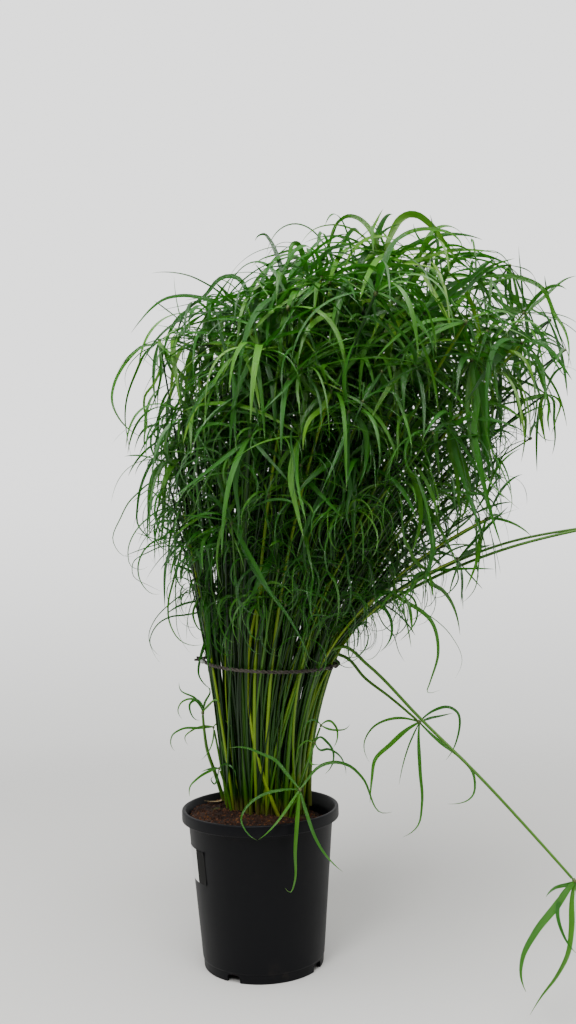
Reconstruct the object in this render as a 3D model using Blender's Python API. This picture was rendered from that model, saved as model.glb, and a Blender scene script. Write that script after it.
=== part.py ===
"""A potted umbrella sedge: a nursery pot filled with peat, a dense clump of three-sided stems bound
with a twisted tie, and at each stem's end an umbrella of long, narrow, drooping bracts.

Metres, +Z up. The origin is the middle of the pot's underside, and the front is at -Y.
"""
import math
import random

import bmesh
import bpy
from mathutils import Matrix, Quaternion, Vector
from mathutils.bvhtree import BVHTree

# Driving dimensions of the pot
GAP = 0.0003
POT_HEIGHT = 0.205
RIM_RADIUS = 0.105
LIP_HEIGHT = 0.015
LIP_OVERHANG = 0.0085
BASE_RADIUS = 0.080
WALL = 0.0022
FLOOR_PAD_RADIUS = 0.055
FOOT_WIDTH = 0.005
CHANNEL_HEIGHT = 0.006
POT_SIDES = 36
NOTCH_ANGLES = (-118, -28, 62, 152)
NOTCH_WIDTH = 0.019
NOTCH_HEIGHT = 0.010

# Driving dimensions of the peat and the label
SOIL_SIDES = 20
SOIL_LEVEL = 0.190
LABEL_ANGLES = (150, 220)
LABEL_BOTTOM = 0.118
LABEL_TOP = 0.161
LABEL_THICKNESS = 0.0005

# Driving dimensions of the clump and its tie
CLUMP_CENTRE = Vector((0.008, 0.030, 0.0))
CLUMP_HALF = Vector((0.056, 0.045, 0.0))
TIE_CENTRE = Vector((0.0185, 0.010, 0.397))
TIE_SLOPE = Vector((-0.048, 0.075, 0.0))
TIE_HALF = Vector((0.0905, 0.0805, 0.0))
TIE_RADIUS = 0.0022
WAIST_SHARE = 0.905
CROWN_CENTRE = Vector((0.142, -0.005, 0.930))
CROWN_HALF = Vector((0.262, 0.235, 0.0))
CROWN_DROP = 0.105
CROWN_SHOOTS = 110
SOLID_FIRST = 1
SOLID_EVERY = 5
SHORTEST = 0.30
GOLDEN_ANGLE = math.radians(137.508)

# Driving dimensions of a stem and of the bracts round its end
STEM_SIDES = 3
STEM_FOOT_RADIUS = 0.0034
STEM_END_RADIUS = 0.0021
STEM_STEPS = 3
STRAY_STEPS = 2
HUB_RADIUS = 0.0042
HUB_HEIGHT = 0.0040
BRACTS = 9
BRACT_STATIONS = (0.12, 0.34, 0.60, 0.84, 1.0)
BRACT_WIDTH = 0.0085
BRACT_KEEL = 0.0011
BRACT_STEPS = 25
LOW_REACH = 0.12
LONG_REACH = 0.62
TRIES = 60

GREEN_STEM = (0.085, 0.190, 0.022, 1.0)
GREEN_BRACT = (0.045, 0.145, 0.030, 1.0)


def material(name, colour, roughness, metallic=0.0):
    made = bpy.data.materials.new(name)
    made.use_nodes = True
    surface = made.node_tree.nodes["Principled BSDF"]
    surface.inputs["Base Color"].default_value = colour
    surface.inputs["Roughness"].default_value = roughness
    surface.inputs["Metallic"].default_value = metallic
    made.diffuse_color = colour
    return made


def add_object(name, bm, surface):
    mesh = bpy.data.meshes.new(name)
    bm.to_mesh(mesh)
    bm.free()
    mesh.materials.append(surface)
    made = bpy.data.objects.new(name, mesh)
    bpy.context.scene.collection.objects.link(made)
    return made


def outer_wall(z):
    """Radius of the pot's outer wall at height z, under the lip."""
    top = POT_HEIGHT - LIP_HEIGHT
    return BASE_RADIUS + (RIM_RADIUS - LIP_OVERHANG - BASE_RADIUS) * z / top


def inner_wall(z):
    return outer_wall(z) - WALL


# The pot: one moulded shell with a rolled lip, a raised drainage channel and four notches in its foot
def add_pot():
    floor = CHANNEL_HEIGHT + WALL
    lip_bottom = POT_HEIGHT - LIP_HEIGHT
    channel_in = FLOOR_PAD_RADIUS + WALL
    foot_in = BASE_RADIUS - FOOT_WIDTH
    lip_in = RIM_RADIUS - 0.0045
    profile = (
        (0.0, WALL), (FLOOR_PAD_RADIUS - WALL, WALL), (FLOOR_PAD_RADIUS, floor),
        (inner_wall(floor), floor), (inner_wall(lip_bottom), lip_bottom), (lip_in, POT_HEIGHT - 0.001),
        (lip_in + 0.0015, POT_HEIGHT), (RIM_RADIUS - 0.0015, POT_HEIGHT),
        (RIM_RADIUS, POT_HEIGHT - 0.003), (RIM_RADIUS, lip_bottom + 0.003),
        (RIM_RADIUS - 0.003, lip_bottom), (outer_wall(lip_bottom), lip_bottom - 0.001),
        (outer_wall(0.004), 0.004), (BASE_RADIUS - 0.0015, 0.0), (foot_in, 0.0),
        (foot_in, CHANNEL_HEIGHT), (channel_in, CHANNEL_HEIGHT), (FLOOR_PAD_RADIUS, 0.0), (0.0, 0.0),
    )
    bm = bmesh.new()
    corners = [bm.verts.new((radius, 0.0, z)) for radius, z in profile]
    for first, second in zip(corners, corners[1:]):
        bm.edges.new((first, second))
    pot = add_object("pot", bm, material("black plastic", (0.011, 0.011, 0.013, 1.0), 0.42))
    screw = pot.modifiers.new("turned profile", "SCREW")
    screw.steps = screw.render_steps = POT_SIDES
    screw.use_merge_vertices = True
    screw.merge_threshold = 0.0001
    bm = bmesh.new()
    for angle in NOTCH_ANGLES:
        place = (
            Matrix.Rotation(math.radians(angle), 4, "Z")
            @ Matrix.Translation((BASE_RADIUS, 0.0, 0.0))
            @ Matrix.Diagonal((0.026, NOTCH_WIDTH, 2 * NOTCH_HEIGHT, 1.0))
        )
        bmesh.ops.create_cube(bm, size=1.0, matrix=place)
    cutter = add_object("notch_cutter", bm, pot.data.materials[0])
    cutter.hide_render = True
    cutter.display_type = "WIRE"
    cut = pot.modifiers.new("drain notches", "BOOLEAN")
    cut.object = cutter
    cut.operation = "DIFFERENCE"
    cut.solver = "EXACT"
    return pot


# The peat: fills the pot, mounded round the clump, high at the left and low at the right and back
def soil_height(x, y):
    away = ((x - CLUMP_CENTRE.x) / 0.060) ** 2 + ((y - CLUMP_CENTRE.y) / 0.055) ** 2
    mound = 0.010 * math.exp(-away)
    lumps = 0.0012 * math.sin(95 * x + 1.0) * math.cos(88 * y) + 0.0008 * math.sin(160 * y - 70 * x)
    return SOIL_LEVEL - 0.115 * x - 0.03 * y + mound + lumps


def add_soil():
    inset = math.cos(math.pi / POT_SIDES)
    floor = CHANNEL_HEIGHT + WALL + GAP
    bottom = (
        (FLOOR_PAD_RADIUS - WALL - 0.002, WALL + GAP), (FLOOR_PAD_RADIUS - 0.002, floor),
        (inner_wall(floor) * inset - GAP, floor),
    )
    top_radius = inner_wall(SOIL_LEVEL - 0.012) * inset - GAP
    bm = bmesh.new()

    def ring(radius, height_of):
        made = []
        for k in range(SOIL_SIDES):
            angle = 2 * math.pi * k / SOIL_SIDES
            x, y = radius * math.cos(angle), radius * math.sin(angle)
            made.append(bm.verts.new((x, y, height_of(x, y))))
        return made

    rings = [ring(radius, lambda x, y, z=z: z) for radius, z in bottom]
    rings += [ring(top_radius * share, soil_height) for share in (1.0, 0.78, 0.52, 0.26)]
    low = bm.verts.new((0.0, 0.0, WALL + GAP))
    high = bm.verts.new((0.0, 0.0, soil_height(0.0, 0.0)))
    for k in range(SOIL_SIDES):
        after = (k + 1) % SOIL_SIDES
        bm.faces.new((low, rings[0][after], rings[0][k]))
        bm.faces.new((high, rings[-1][k], rings[-1][after]))
        for inner, outer in zip(rings, rings[1:]):
            bm.faces.new((inner[k], inner[after], outer[after], outer[k]))
    bmesh.ops.triangulate(bm, faces=bm.faces[:])
    return add_object("soil", bm, material("brown peat", (0.060, 0.032, 0.018, 1.0), 0.95))


# The label: a blank sticker round the pot's left side, on the facets of the wall
def add_label():
    step = 360 // POT_SIDES
    lift = GAP / math.cos(math.pi / POT_SIDES)
    bm = bmesh.new()
    columns = []
    for angle in range(LABEL_ANGLES[0], LABEL_ANGLES[1] + 1, step):
        turn = Matrix.Rotation(math.radians(angle), 4, "Z")
        corners = []
        for z, out in ((LABEL_BOTTOM, 0), (LABEL_BOTTOM, 1), (LABEL_TOP, 1), (LABEL_TOP, 0)):
            radius = outer_wall(z) + lift + out * LABEL_THICKNESS
            corners.append(bm.verts.new(turn @ Vector((radius, 0.0, z))))
        columns.append(corners)
    for first, second in zip(columns, columns[1:]):
        for k in range(4):
            after = (k + 1) % 4
            bm.faces.new((first[k], second[k], second[after], first[after]))
    bm.faces.new(columns[0])
    bm.faces.new(columns[-1][::-1])
    bmesh.ops.recalc_face_normals(bm, faces=bm.faces[:])
    return add_object("pot_label", bm, material("white paper", (0.75, 0.75, 0.74, 1.0), 0.6))


# Smooth lines that the stems, the tie and the bracts follow
def spans_of(points):
    """Each span's length, ends and end tangents, on the smooth curve through the given points."""
    points = [Vector(point) for point in points]
    spans = [(after - before).length for before, after in zip(points, points[1:])]
    slopes = [(after - before) / span for before, after, span in zip(points, points[1:], spans)]
    tangents = [slopes[0]] * len(points)
    for k in range(1, len(slopes)):
        before, after = spans[k - 1], spans[k]
        tangents[k] = (slopes[k - 1] * after + slopes[k] * before) / (before + after)
    if len(slopes) > 1:
        tangents[0] = 2 * slopes[0] - tangents[1]
    tangents[-1] = 2 * slopes[-1] - tangents[-2] if len(slopes) > 1 else slopes[-1]
    return list(zip(spans, points, points[1:], tangents, tangents[1:]))


def point_in(span, t):
    length, start, end, leaving, arriving = span
    return (
        start * (2 * t**3 - 3 * t**2 + 1) + leaving * (t**3 - 2 * t**2 + t) * length
        + end * (3 * t**2 - 2 * t**3) + arriving * (t**3 - t**2) * length
    )


def points_along(points, steps):
    """The curve's points, the same number of steps in each span."""
    spans = spans_of(points)
    return [point_in(span, k / steps) for span in spans for k in range(steps)] + [Vector(points[-1])]


def curve_through(points, count):
    """Count points spread evenly along the curve."""
    spans = spans_of(points)
    whole, made = sum(span[0] for span in spans), []
    for number in range(count):
        along, k = whole * number / (count - 1), 0
        while k < len(spans) - 1 and along > spans[k][0]:
            along -= spans[k][0]
            k += 1
        made.append(point_in(spans[k], min(along / spans[k][0], 1.0)))
    return made


# The tie: a stiff twisted cord once round the clump, its two ends sticking out at the left
def tie_point(angle, beyond=0.0):
    out = Vector((math.cos(angle), math.sin(angle), 0.0))
    flat = Vector((out.x * TIE_HALF.x, out.y * TIE_HALF.y, 0.0)) + out * beyond
    return TIE_CENTRE + flat + Vector((0.0, 0.0, TIE_SLOPE.dot(flat)))


def add_tie():
    turns = 23
    parting = math.radians(4)
    start, end = math.pi + parting, 3 * math.pi - parting
    path = [tie_point(start, 0.013)]
    path += [tie_point(start + (end - start) * k / turns) for k in range(turns + 1)]
    path += [tie_point(end, 0.011)]
    curve = bpy.data.curves.new("tie", "CURVE")
    curve.dimensions = "3D"
    curve.bevel_depth = TIE_RADIUS
    curve.bevel_resolution = 1
    curve.use_fill_caps = True
    spline = curve.splines.new("POLY")
    spline.points.add(len(path) - 1)
    for point, place in zip(spline.points, path):
        point.co = (*place, 1.0)
    curve.materials.append(material("dark twisted cord", (0.035, 0.028, 0.020, 1.0), 0.8))
    tie = bpy.data.objects.new("tie", curve)
    bpy.context.scene.collection.objects.link(tie)
    return tie


# The crown's rule: stems rise from the clump, pass the tie in the same order and fan out into a dome
def crown_path(number):
    """Foot, waist at the tie and end of one crown stem, counted from the middle outwards."""
    chance = random.Random(number)
    rank = math.sqrt((number + 0.5) / CROWN_SHOOTS)
    angle = GOLDEN_ANGLE * number
    out = Vector((math.cos(angle), math.sin(angle), 0.0)) * rank
    foot = CLUMP_CENTRE + out * CLUMP_HALF
    foot.z = soil_height(foot.x, foot.y)
    across = out * TIE_HALF * WAIST_SHARE
    waist = TIE_CENTRE + across + Vector((0.0, 0.0, TIE_SLOPE.dot(across)))
    top = CROWN_CENTRE + out * CROWN_HALF - Vector((0.0, 0.0, CROWN_DROP * rank**2))
    share = 1.0 - (1.0 - SHORTEST) * rank**1.5 * chance.random() ** 1.6
    return foot, waist, waist.lerp(top, share)


def lean_of(axis):
    """The turn that takes straight up to the way that a stem's end points."""
    return Vector((0.0, 0.0, 1.0)).rotation_difference(axis)


def bract_path(start, axis, azimuth, rise, length, droop, turn):
    """Points along a bract that leaves its hub at an angle, turns a little and sinks under its weight."""
    heading = Vector((
        math.cos(azimuth) * math.cos(rise), math.sin(azimuth) * math.cos(rise), math.sin(rise)
    ))
    heading.rotate(lean_of(axis))
    points = [start]
    for step in range(BRACT_STEPS):
        along = (step + 0.5) / BRACT_STEPS
        heading.rotate(Quaternion((0.0, 0.0, 1.0), turn / BRACT_STEPS))
        heading = (heading - Vector((0.0, 0.0, droop * (0.35 + 1.3 * along) / BRACT_STEPS))).normalized()
        points.append(points[-1] + heading * (length / BRACT_STEPS))
    return points


def bract_sections(path, axis, width):
    """The right, left and keel corners of a bract at each of its stations, and then its tip alone."""
    last = len(path) - 1
    side = (path[1] - path[0]).cross(axis)
    sections = []
    for share in BRACT_STATIONS:
        at = round(share * last)
        heading = (path[min(at + 1, last)] - path[at - 1]).normalized()
        side = (side - heading * side.dot(heading)).normalized()
        half = side * width * (1.0 - 0.80 * share**1.6) / 2
        under = heading.cross(side) * BRACT_KEEL * (1.0 - 0.5 * share)
        sections.append((path[at] + half, path[at] - half, path[at] + under))
    sections[-1] = (path[-1],)
    return sections


def bract_tree(sections, root=None):
    """A search tree of a bract's faces, from its first station or from its root."""
    corners, faces = [], []
    if root:
        corners.append(root)
        faces = [(0, 1, 2), (0, 2, 3), (0, 3, 1)]
    for right, left, low in sections[:-1]:
        corners += [right, left, low]
    first = len(corners) - 3 * (len(sections) - 1)
    for k in range(len(sections) - 2):
        here = first + 3 * k
        for one, other in ((0, 1), (1, 2), (2, 0)):
            faces.append((here + one, here + other, here + 3 + other, here + 3 + one))
    here = len(corners) - 3
    corners.append(sections[-1][0])
    faces += [(here, here + 1, here + 3), (here + 1, here + 2, here + 3), (here + 2, here, here + 3)]
    return BVHTree.FromPolygons(corners, faces)


def draw_umbrella(name, turn, apex, axis, reach, trees):
    """Bracts as (azimuth, path, width), each drawn again until it runs clear of everything else."""
    start = apex + axis * HUB_HEIGHT
    drawn, own = [], []
    for k in range(BRACTS):
        chance = random.Random(f"{name} {turn} {k}")
        azimuth = (turn + GOLDEN_ANGLE * k + chance.uniform(-0.12, 0.12)) % (2 * math.pi)
        for _ in range(TRIES):
            rise = chance.uniform(0.15, 1.15)
            length = reach * chance.uniform(0.110, 0.190)
            droop = chance.uniform(2.2, 4.8)
            twist = chance.uniform(-0.8, 0.8)
            width = BRACT_WIDTH * chance.uniform(0.70, 1.10)
            path = bract_path(start, axis, azimuth, rise, length, droop, twist)
            sections = bract_sections(path, axis, width)
            whole, free = bract_tree(sections, start), bract_tree(sections)
            if not any(whole.overlap(tree) for tree in trees) and not any(free.overlap(tree) for tree in own):
                drawn.append((azimuth, path, width))
                own.append(free)
                break
    return drawn


# A stem: three-sided, tapering, standing on the peat
def stem_mesh(path, soil_tree):
    bm = bmesh.new()
    rings = []
    side = Vector((0.0, 1.0, 0.0))
    for k, place in enumerate(path):
        heading = (path[min(k + 1, len(path) - 1)] - path[max(k - 1, 0)]).normalized()
        side = (side - heading * side.dot(heading)).normalized()
        other = heading.cross(side)
        radius = STEM_FOOT_RADIUS + (STEM_END_RADIUS - STEM_FOOT_RADIUS) * k / (len(path) - 1)
        rings.append([])
        for corner in range(STEM_SIDES):
            angle = 2 * math.pi * corner / STEM_SIDES
            out = side * math.cos(angle) * radius + other * math.sin(angle) * radius
            rings[-1].append(bm.verts.new(place + out))
    above = Vector((0.0, 0.0, POT_HEIGHT))
    down = Vector((0.0, 0.0, -1.0))
    hits = [soil_tree.ray_cast(vert.co + above, down)[0].z for vert in rings[0]]
    for vert in rings[0]:
        vert.co.z = max(hits) + GAP
    bm.faces.new(rings[0][::-1])
    bm.faces.new(rings[-1])
    for lower, upper in zip(rings, rings[1:]):
        for corner in range(STEM_SIDES):
            after = (corner + 1) % STEM_SIDES
            bm.faces.new((lower[corner], lower[after], upper[after], upper[corner]))
    return bm


# An umbrella: a small hub with a bract drawn out of each of its sides, flat above and keeled below
def umbrella_mesh(apex, axis, bracts):
    """Bracts are (azimuth, path, width); the apex is the hub's lowest point."""
    bracts = sorted(bracts, key=lambda bract: bract[0])
    bm = bmesh.new()
    keel = bm.verts.new(apex)
    ring = []
    for before, after in zip(bracts[-1:] + bracts[:-1], bracts):
        angle = after[0] - ((after[0] - before[0]) % (2 * math.pi)) / 2
        out = Vector((math.cos(angle), math.sin(angle), 0.0))
        out.rotate(lean_of(axis))
        ring.append(bm.verts.new(apex + axis * HUB_HEIGHT + out * HUB_RADIUS))
    bm.faces.new(ring)
    for place, (_, path, width) in enumerate(bracts):
        right, left, low = ring[place], ring[(place + 1) % len(ring)], keel
        sections = bract_sections(path, axis, width)
        for corners in sections[:-1]:
            new_right, new_left, new_low = (bm.verts.new(corner) for corner in corners)
            bm.faces.new((right, new_right, new_left, left))
            bm.faces.new((low, new_low, new_right, right))
            bm.faces.new((left, new_left, new_low, low))
            right, left, low = new_right, new_left, new_low
        tip = bm.verts.new(sections[-1][0])
        bm.faces.new((right, tip, left))
        bm.faces.new((low, tip, right))
        bm.faces.new((left, tip, low))
    return bm


# The stray shoots: stems that left the bundle, each with the umbrella at its end
STRAY_STEMS = {
    "long_1": (
        (0.063, 0.031, 0.20), (0.098, 0.013, 0.392), (0.112, 0.011, 0.424), (0.1557, 0.012, 0.462),
        (0.2296, 0.015, 0.5035), (0.3416, 0.020, 0.547), (0.444, 0.025, 0.565), (0.545, 0.030, 0.572),
    ),
    "long_2": (
        (0.056, 0.006, 0.20), (0.095, -0.018, 0.391), (0.110, -0.020, 0.420), (0.1558, -0.020, 0.460),
        (0.2243, -0.025, 0.498), (0.3297, -0.030, 0.539), (0.4273, -0.035, 0.562), (0.530, -0.040, 0.577),
    ),
    "drooping": (
        (0.053, -0.007, 0.20), (0.082, -0.029, 0.386), (0.093, -0.036, 0.410), (0.115, -0.046, 0.419),
        (0.145, -0.057, 0.396), (0.2076, -0.085, 0.330), (0.2731, -0.130, 0.264), (0.3331, -0.175, 0.1965),
        (0.3627, -0.200, 0.1618),
    ),
    "side": (
        (0.067, 0.013, 0.20), (0.0965, 0.001, 0.385), (0.104, -0.001, 0.405), (0.119, -0.003, 0.401),
        (0.1453, -0.004, 0.372), (0.1774, -0.010, 0.3465), (0.2114, -0.020, 0.3166),
    ),
    "front": (
        (0.044, -0.020, 0.20), (0.046, -0.046, 0.216), (0.050, -0.076, 0.229), (0.0525, -0.092, 0.2435),
    ),
    "left": (
        (-0.0514, 0.040, 0.2037), (-0.0622, 0.030, 0.2445), (-0.071, 0.020, 0.2767),
        (-0.0735, 0.008, 0.3056), (-0.0743, 0.000, 0.3275),
    ),
}
STRAY_BRACTS = {
    "drooping": (
        ((0.341, -0.215, 0.137), (0.311, -0.230, 0.112), (0.294, -0.240, 0.086), (0.298, -0.235, 0.049)),
        ((0.345, -0.222, 0.145), (0.336, -0.235, 0.129), (0.342, -0.250, 0.108), (0.356, -0.255, 0.088)),
        ((0.359, -0.204, 0.103), (0.354, -0.207, 0.080), (0.338, -0.215, 0.059), (0.301, -0.235, 0.024)),
        ((0.358, -0.190, 0.154), (0.345, -0.180, 0.148), (0.332, -0.168, 0.136)),
        ((0.386, -0.205, 0.150), (0.408, -0.215, 0.122), (0.416, -0.220, 0.082)),
        ((0.384, -0.190, 0.154), (0.406, -0.172, 0.132), (0.414, -0.160, 0.092)),
        ((0.370, -0.178, 0.150), (0.376, -0.150, 0.124), (0.378, -0.140, 0.084)),
    ),
    "side": (
        (
            (0.204, -0.011, 0.3085), (0.183, -0.004, 0.317), (0.155, 0.005, 0.305),
            (0.142, 0.010, 0.282), (0.150, 0.010, 0.255),
        ),
        ((0.173, -0.040, 0.288), (0.152, -0.050, 0.272), (0.147, -0.055, 0.250), (0.143, -0.060, 0.219)),
        ((0.202, 0.000, 0.280), (0.188, 0.010, 0.225)),
        ((0.212, -0.030, 0.253), (0.213, -0.035, 0.211), (0.206, -0.030, 0.179), (0.188, -0.025, 0.165)),
        ((0.240, -0.030, 0.289), (0.264, -0.040, 0.271), (0.278, -0.045, 0.222), (0.247, -0.035, 0.209)),
        ((0.234, -0.010, 0.326), (0.258, 0.010, 0.328), (0.268, 0.025, 0.274), (0.254, 0.020, 0.255)),
        ((0.228, 0.008, 0.315), (0.246, 0.030, 0.314), (0.262, 0.048, 0.294)),
    ),
    "front": (
        ((0.028, -0.100, 0.248), (0.006, -0.105, 0.243), (-0.018, -0.115, 0.210), (0.005, -0.115, 0.181)),
        ((0.038, -0.110, 0.219), (0.021, -0.120, 0.198), (0.005, -0.127, 0.184)),
        ((0.050, -0.114, 0.201), (0.046, -0.119, 0.160), (0.043, -0.121, 0.128)),
        ((0.062, -0.112, 0.219), (0.070, -0.118, 0.190), (0.106, -0.120, 0.151)),
        ((0.079, -0.090, 0.274), (0.118, -0.080, 0.271), (0.143, -0.070, 0.232), (0.170, -0.070, 0.209)),
        ((0.037, -0.088, 0.265), (0.005, -0.084, 0.292), (-0.033, -0.080, 0.300)),
    ),
    "left": (
        ((-0.080, -0.004, 0.342), (-0.088, -0.006, 0.349), (-0.097, -0.008, 0.340), (-0.090, -0.010, 0.321)),
        ((-0.085, 0.004, 0.345), (-0.104, 0.006, 0.361), (-0.108, 0.007, 0.372)),
        ((-0.083, 0.012, 0.340), (-0.102, 0.016, 0.343), (-0.103, 0.018, 0.323)),
        ((-0.072, 0.006, 0.345), (-0.070, 0.020, 0.362), (-0.072, 0.034, 0.366)),
        ((-0.068, -0.008, 0.342), (-0.064, -0.020, 0.352), (-0.066, -0.030, 0.346)),
    ),
}
STRAY_WIDTH = {"drooping": 0.0080, "side": 0.0050, "front": 0.0065, "left": 0.0040}


def tree_of(bm):
    return BVHTree.FromBMesh(bm)


def end_of(path):
    """The lowest point of the hub above a stem's end, and the way that the stem points there."""
    axis = (path[-1] - path[-2]).normalized()
    return path[-1] + axis * GAP, axis


def room_round(apex, axis):
    """A search tree of the room that a hub takes, which the bracts of other umbrellas keep out of."""
    bm = bmesh.new()
    place = Matrix.Translation(apex + axis * HUB_HEIGHT)
    bmesh.ops.create_icosphere(bm, subdivisions=1, radius=2 * HUB_RADIUS, matrix=place)
    tree = tree_of(bm)
    bm.free()
    return tree


def main():
    for old in list(bpy.data.objects):
        bpy.data.objects.remove(old, do_unlink=True)
    add_pot()
    soil = add_soil()
    add_label()
    add_tie()
    stem_green = material("stem green", GREEN_STEM, 0.45)
    bract_green = material("bract green", GREEN_BRACT, 0.5)
    soil_bm = bmesh.new()
    soil_bm.from_mesh(soil.data)
    soil_tree = tree_of(soil_bm)
    soil_bm.free()

    crown = range(SOLID_FIRST, CROWN_SHOOTS, SOLID_EVERY)
    lines = {f"{place:02d}": crown_path(number) for place, number in enumerate(crown, 1)}
    lines |= STRAY_STEMS
    ends, trees = {}, []
    for name, points in lines.items():
        path = points_along(points, STEM_STEPS if name.isdigit() else STRAY_STEPS)
        bm = stem_mesh(path, soil_tree)
        trees.append(tree_of(bm))
        ends[name] = end_of(path)
        add_object(f"stem_{name}", bm, stem_green)

    for name, sprays in STRAY_BRACTS.items():
        apex, axis = ends[name]
        start = apex + axis * HUB_HEIGHT
        bracts = []
        for spray in sprays:
            path = curve_through((start, *spray), BRACT_STEPS + 1)
            out = path[2] - start
            out.rotate(lean_of(axis).inverted())
            bracts.append((math.atan2(out.y, out.x) % (2 * math.pi), path, STRAY_WIDTH[name]))
        bm = umbrella_mesh(apex, axis, bracts)
        trees.append(tree_of(bm))
        add_object(f"umbrella_{name}", bm, bract_green)

    drawn = ["long_1", "long_2"] + sorted(name for name in ends if name.isdigit())
    rooms = {name: room_round(*ends[name]) for name in drawn}
    for name in drawn:
        apex, axis = ends[name]
        del rooms[name]
        taken = trees + list(rooms.values())
        reach = min(1.0, apex.z + LOW_REACH) if name.isdigit() else LONG_REACH
        for turn in range(TRIES):
            bm = umbrella_mesh(apex, axis, draw_umbrella(name, turn, apex, axis, reach, taken))
            tree = tree_of(bm)
            if not any(tree.overlap(other) for other in taken):
                break
            bm.free()
        else:
            raise ValueError(f"umbrella_{name} finds no room")
        trees.append(tree)
        add_object(f"umbrella_{name}", bm, bract_green)


main()
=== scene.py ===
"""A potted umbrella sedge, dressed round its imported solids."""
import math
import random

import bmesh
import bpy
import numpy as np
from mathutils import Matrix, Quaternion, Vector, noise


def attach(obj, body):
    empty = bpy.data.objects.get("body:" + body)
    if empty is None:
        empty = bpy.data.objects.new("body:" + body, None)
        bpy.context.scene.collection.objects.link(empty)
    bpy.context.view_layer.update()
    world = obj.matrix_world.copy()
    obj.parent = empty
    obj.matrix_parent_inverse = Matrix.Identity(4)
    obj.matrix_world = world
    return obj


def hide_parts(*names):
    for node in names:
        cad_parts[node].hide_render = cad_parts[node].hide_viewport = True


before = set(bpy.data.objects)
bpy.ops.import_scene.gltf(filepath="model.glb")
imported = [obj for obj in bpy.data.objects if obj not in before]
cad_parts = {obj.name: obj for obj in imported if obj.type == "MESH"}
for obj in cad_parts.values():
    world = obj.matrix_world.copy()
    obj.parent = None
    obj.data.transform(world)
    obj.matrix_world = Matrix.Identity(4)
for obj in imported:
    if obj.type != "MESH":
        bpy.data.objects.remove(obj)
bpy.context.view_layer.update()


# The place where the plant is looked at: a camera at the height of the crown's foot, turned a
# little, a pale floor that fades out into a pale room, and large soft lamps above and in front.
CAMERA_PLACE = Vector((0.0474, -1.406, 0.549))
CAMERA_PITCH = math.radians(2.0)
CAMERA_ROLL = math.radians(1.5)
FOCAL_PIXELS, PIXELS_HIGH = 1037, 1024
SENSOR = 36.0
FLOOR_GREY = (0.60, 0.595, 0.575, 1.0)
FLOOR_CLEAR_FROM, FLOOR_CLEAR_TO = 0.55, 1.9
BACKDROP_HIGH = (0.86, 0.86, 0.855, 1.0)
BACKDROP_LOW = (0.50, 0.50, 0.485, 1.0)
BACKDROP_STRENGTH = 2.3
ROOM_BRIGHT = (0.90, 0.90, 0.89, 1.0)
ROOM_DIM = (0.03, 0.03, 0.032, 1.0)
ROOM_STRENGTH = 1.35

camera_data = bpy.data.cameras.new("camera")
camera_data.sensor_width = SENSOR
camera_data.lens = FOCAL_PIXELS / PIXELS_HIGH * SENSOR
camera = bpy.data.objects.new("camera", camera_data)
bpy.context.scene.collection.objects.link(camera)
ahead = Vector((0.0, math.cos(CAMERA_PITCH), math.sin(CAMERA_PITCH)))
level_up = Vector((0.0, -math.sin(CAMERA_PITCH), math.cos(CAMERA_PITCH)))
right = Vector((1.0, 0.0, 0.0)) * math.cos(CAMERA_ROLL) - level_up * math.sin(CAMERA_ROLL)
turned = Matrix((right, right.cross(ahead), -ahead)).transposed()
camera.matrix_world = Matrix.Translation(CAMERA_PLACE) @ turned.to_4x4()
bpy.context.scene.camera = camera


class Value:
    """A value in a material, with the sums that are done on it."""

    def __init__(self, finish, socket):
        self.finish, self.socket = finish, socket

    def sum_with(self, operation, first, second=0.0):
        return self.finish.add("ShaderNodeMath", {"operation": operation}, {0: first, 1: second})

    def __add__(self, other):
        return self.sum_with("ADD", self, other)

    def __radd__(self, other):
        return self.sum_with("ADD", other, self)

    def __sub__(self, other):
        return self.sum_with("SUBTRACT", self, other)

    def __rsub__(self, other):
        return self.sum_with("SUBTRACT", other, self)

    def __mul__(self, other):
        return self.sum_with("MULTIPLY", self, other)

    def __rmul__(self, other):
        return self.sum_with("MULTIPLY", other, self)

    def __abs__(self):
        return self.sum_with("ABSOLUTE", self)

    def above(self, edge):
        return self.sum_with("GREATER_THAN", self, edge)


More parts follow.
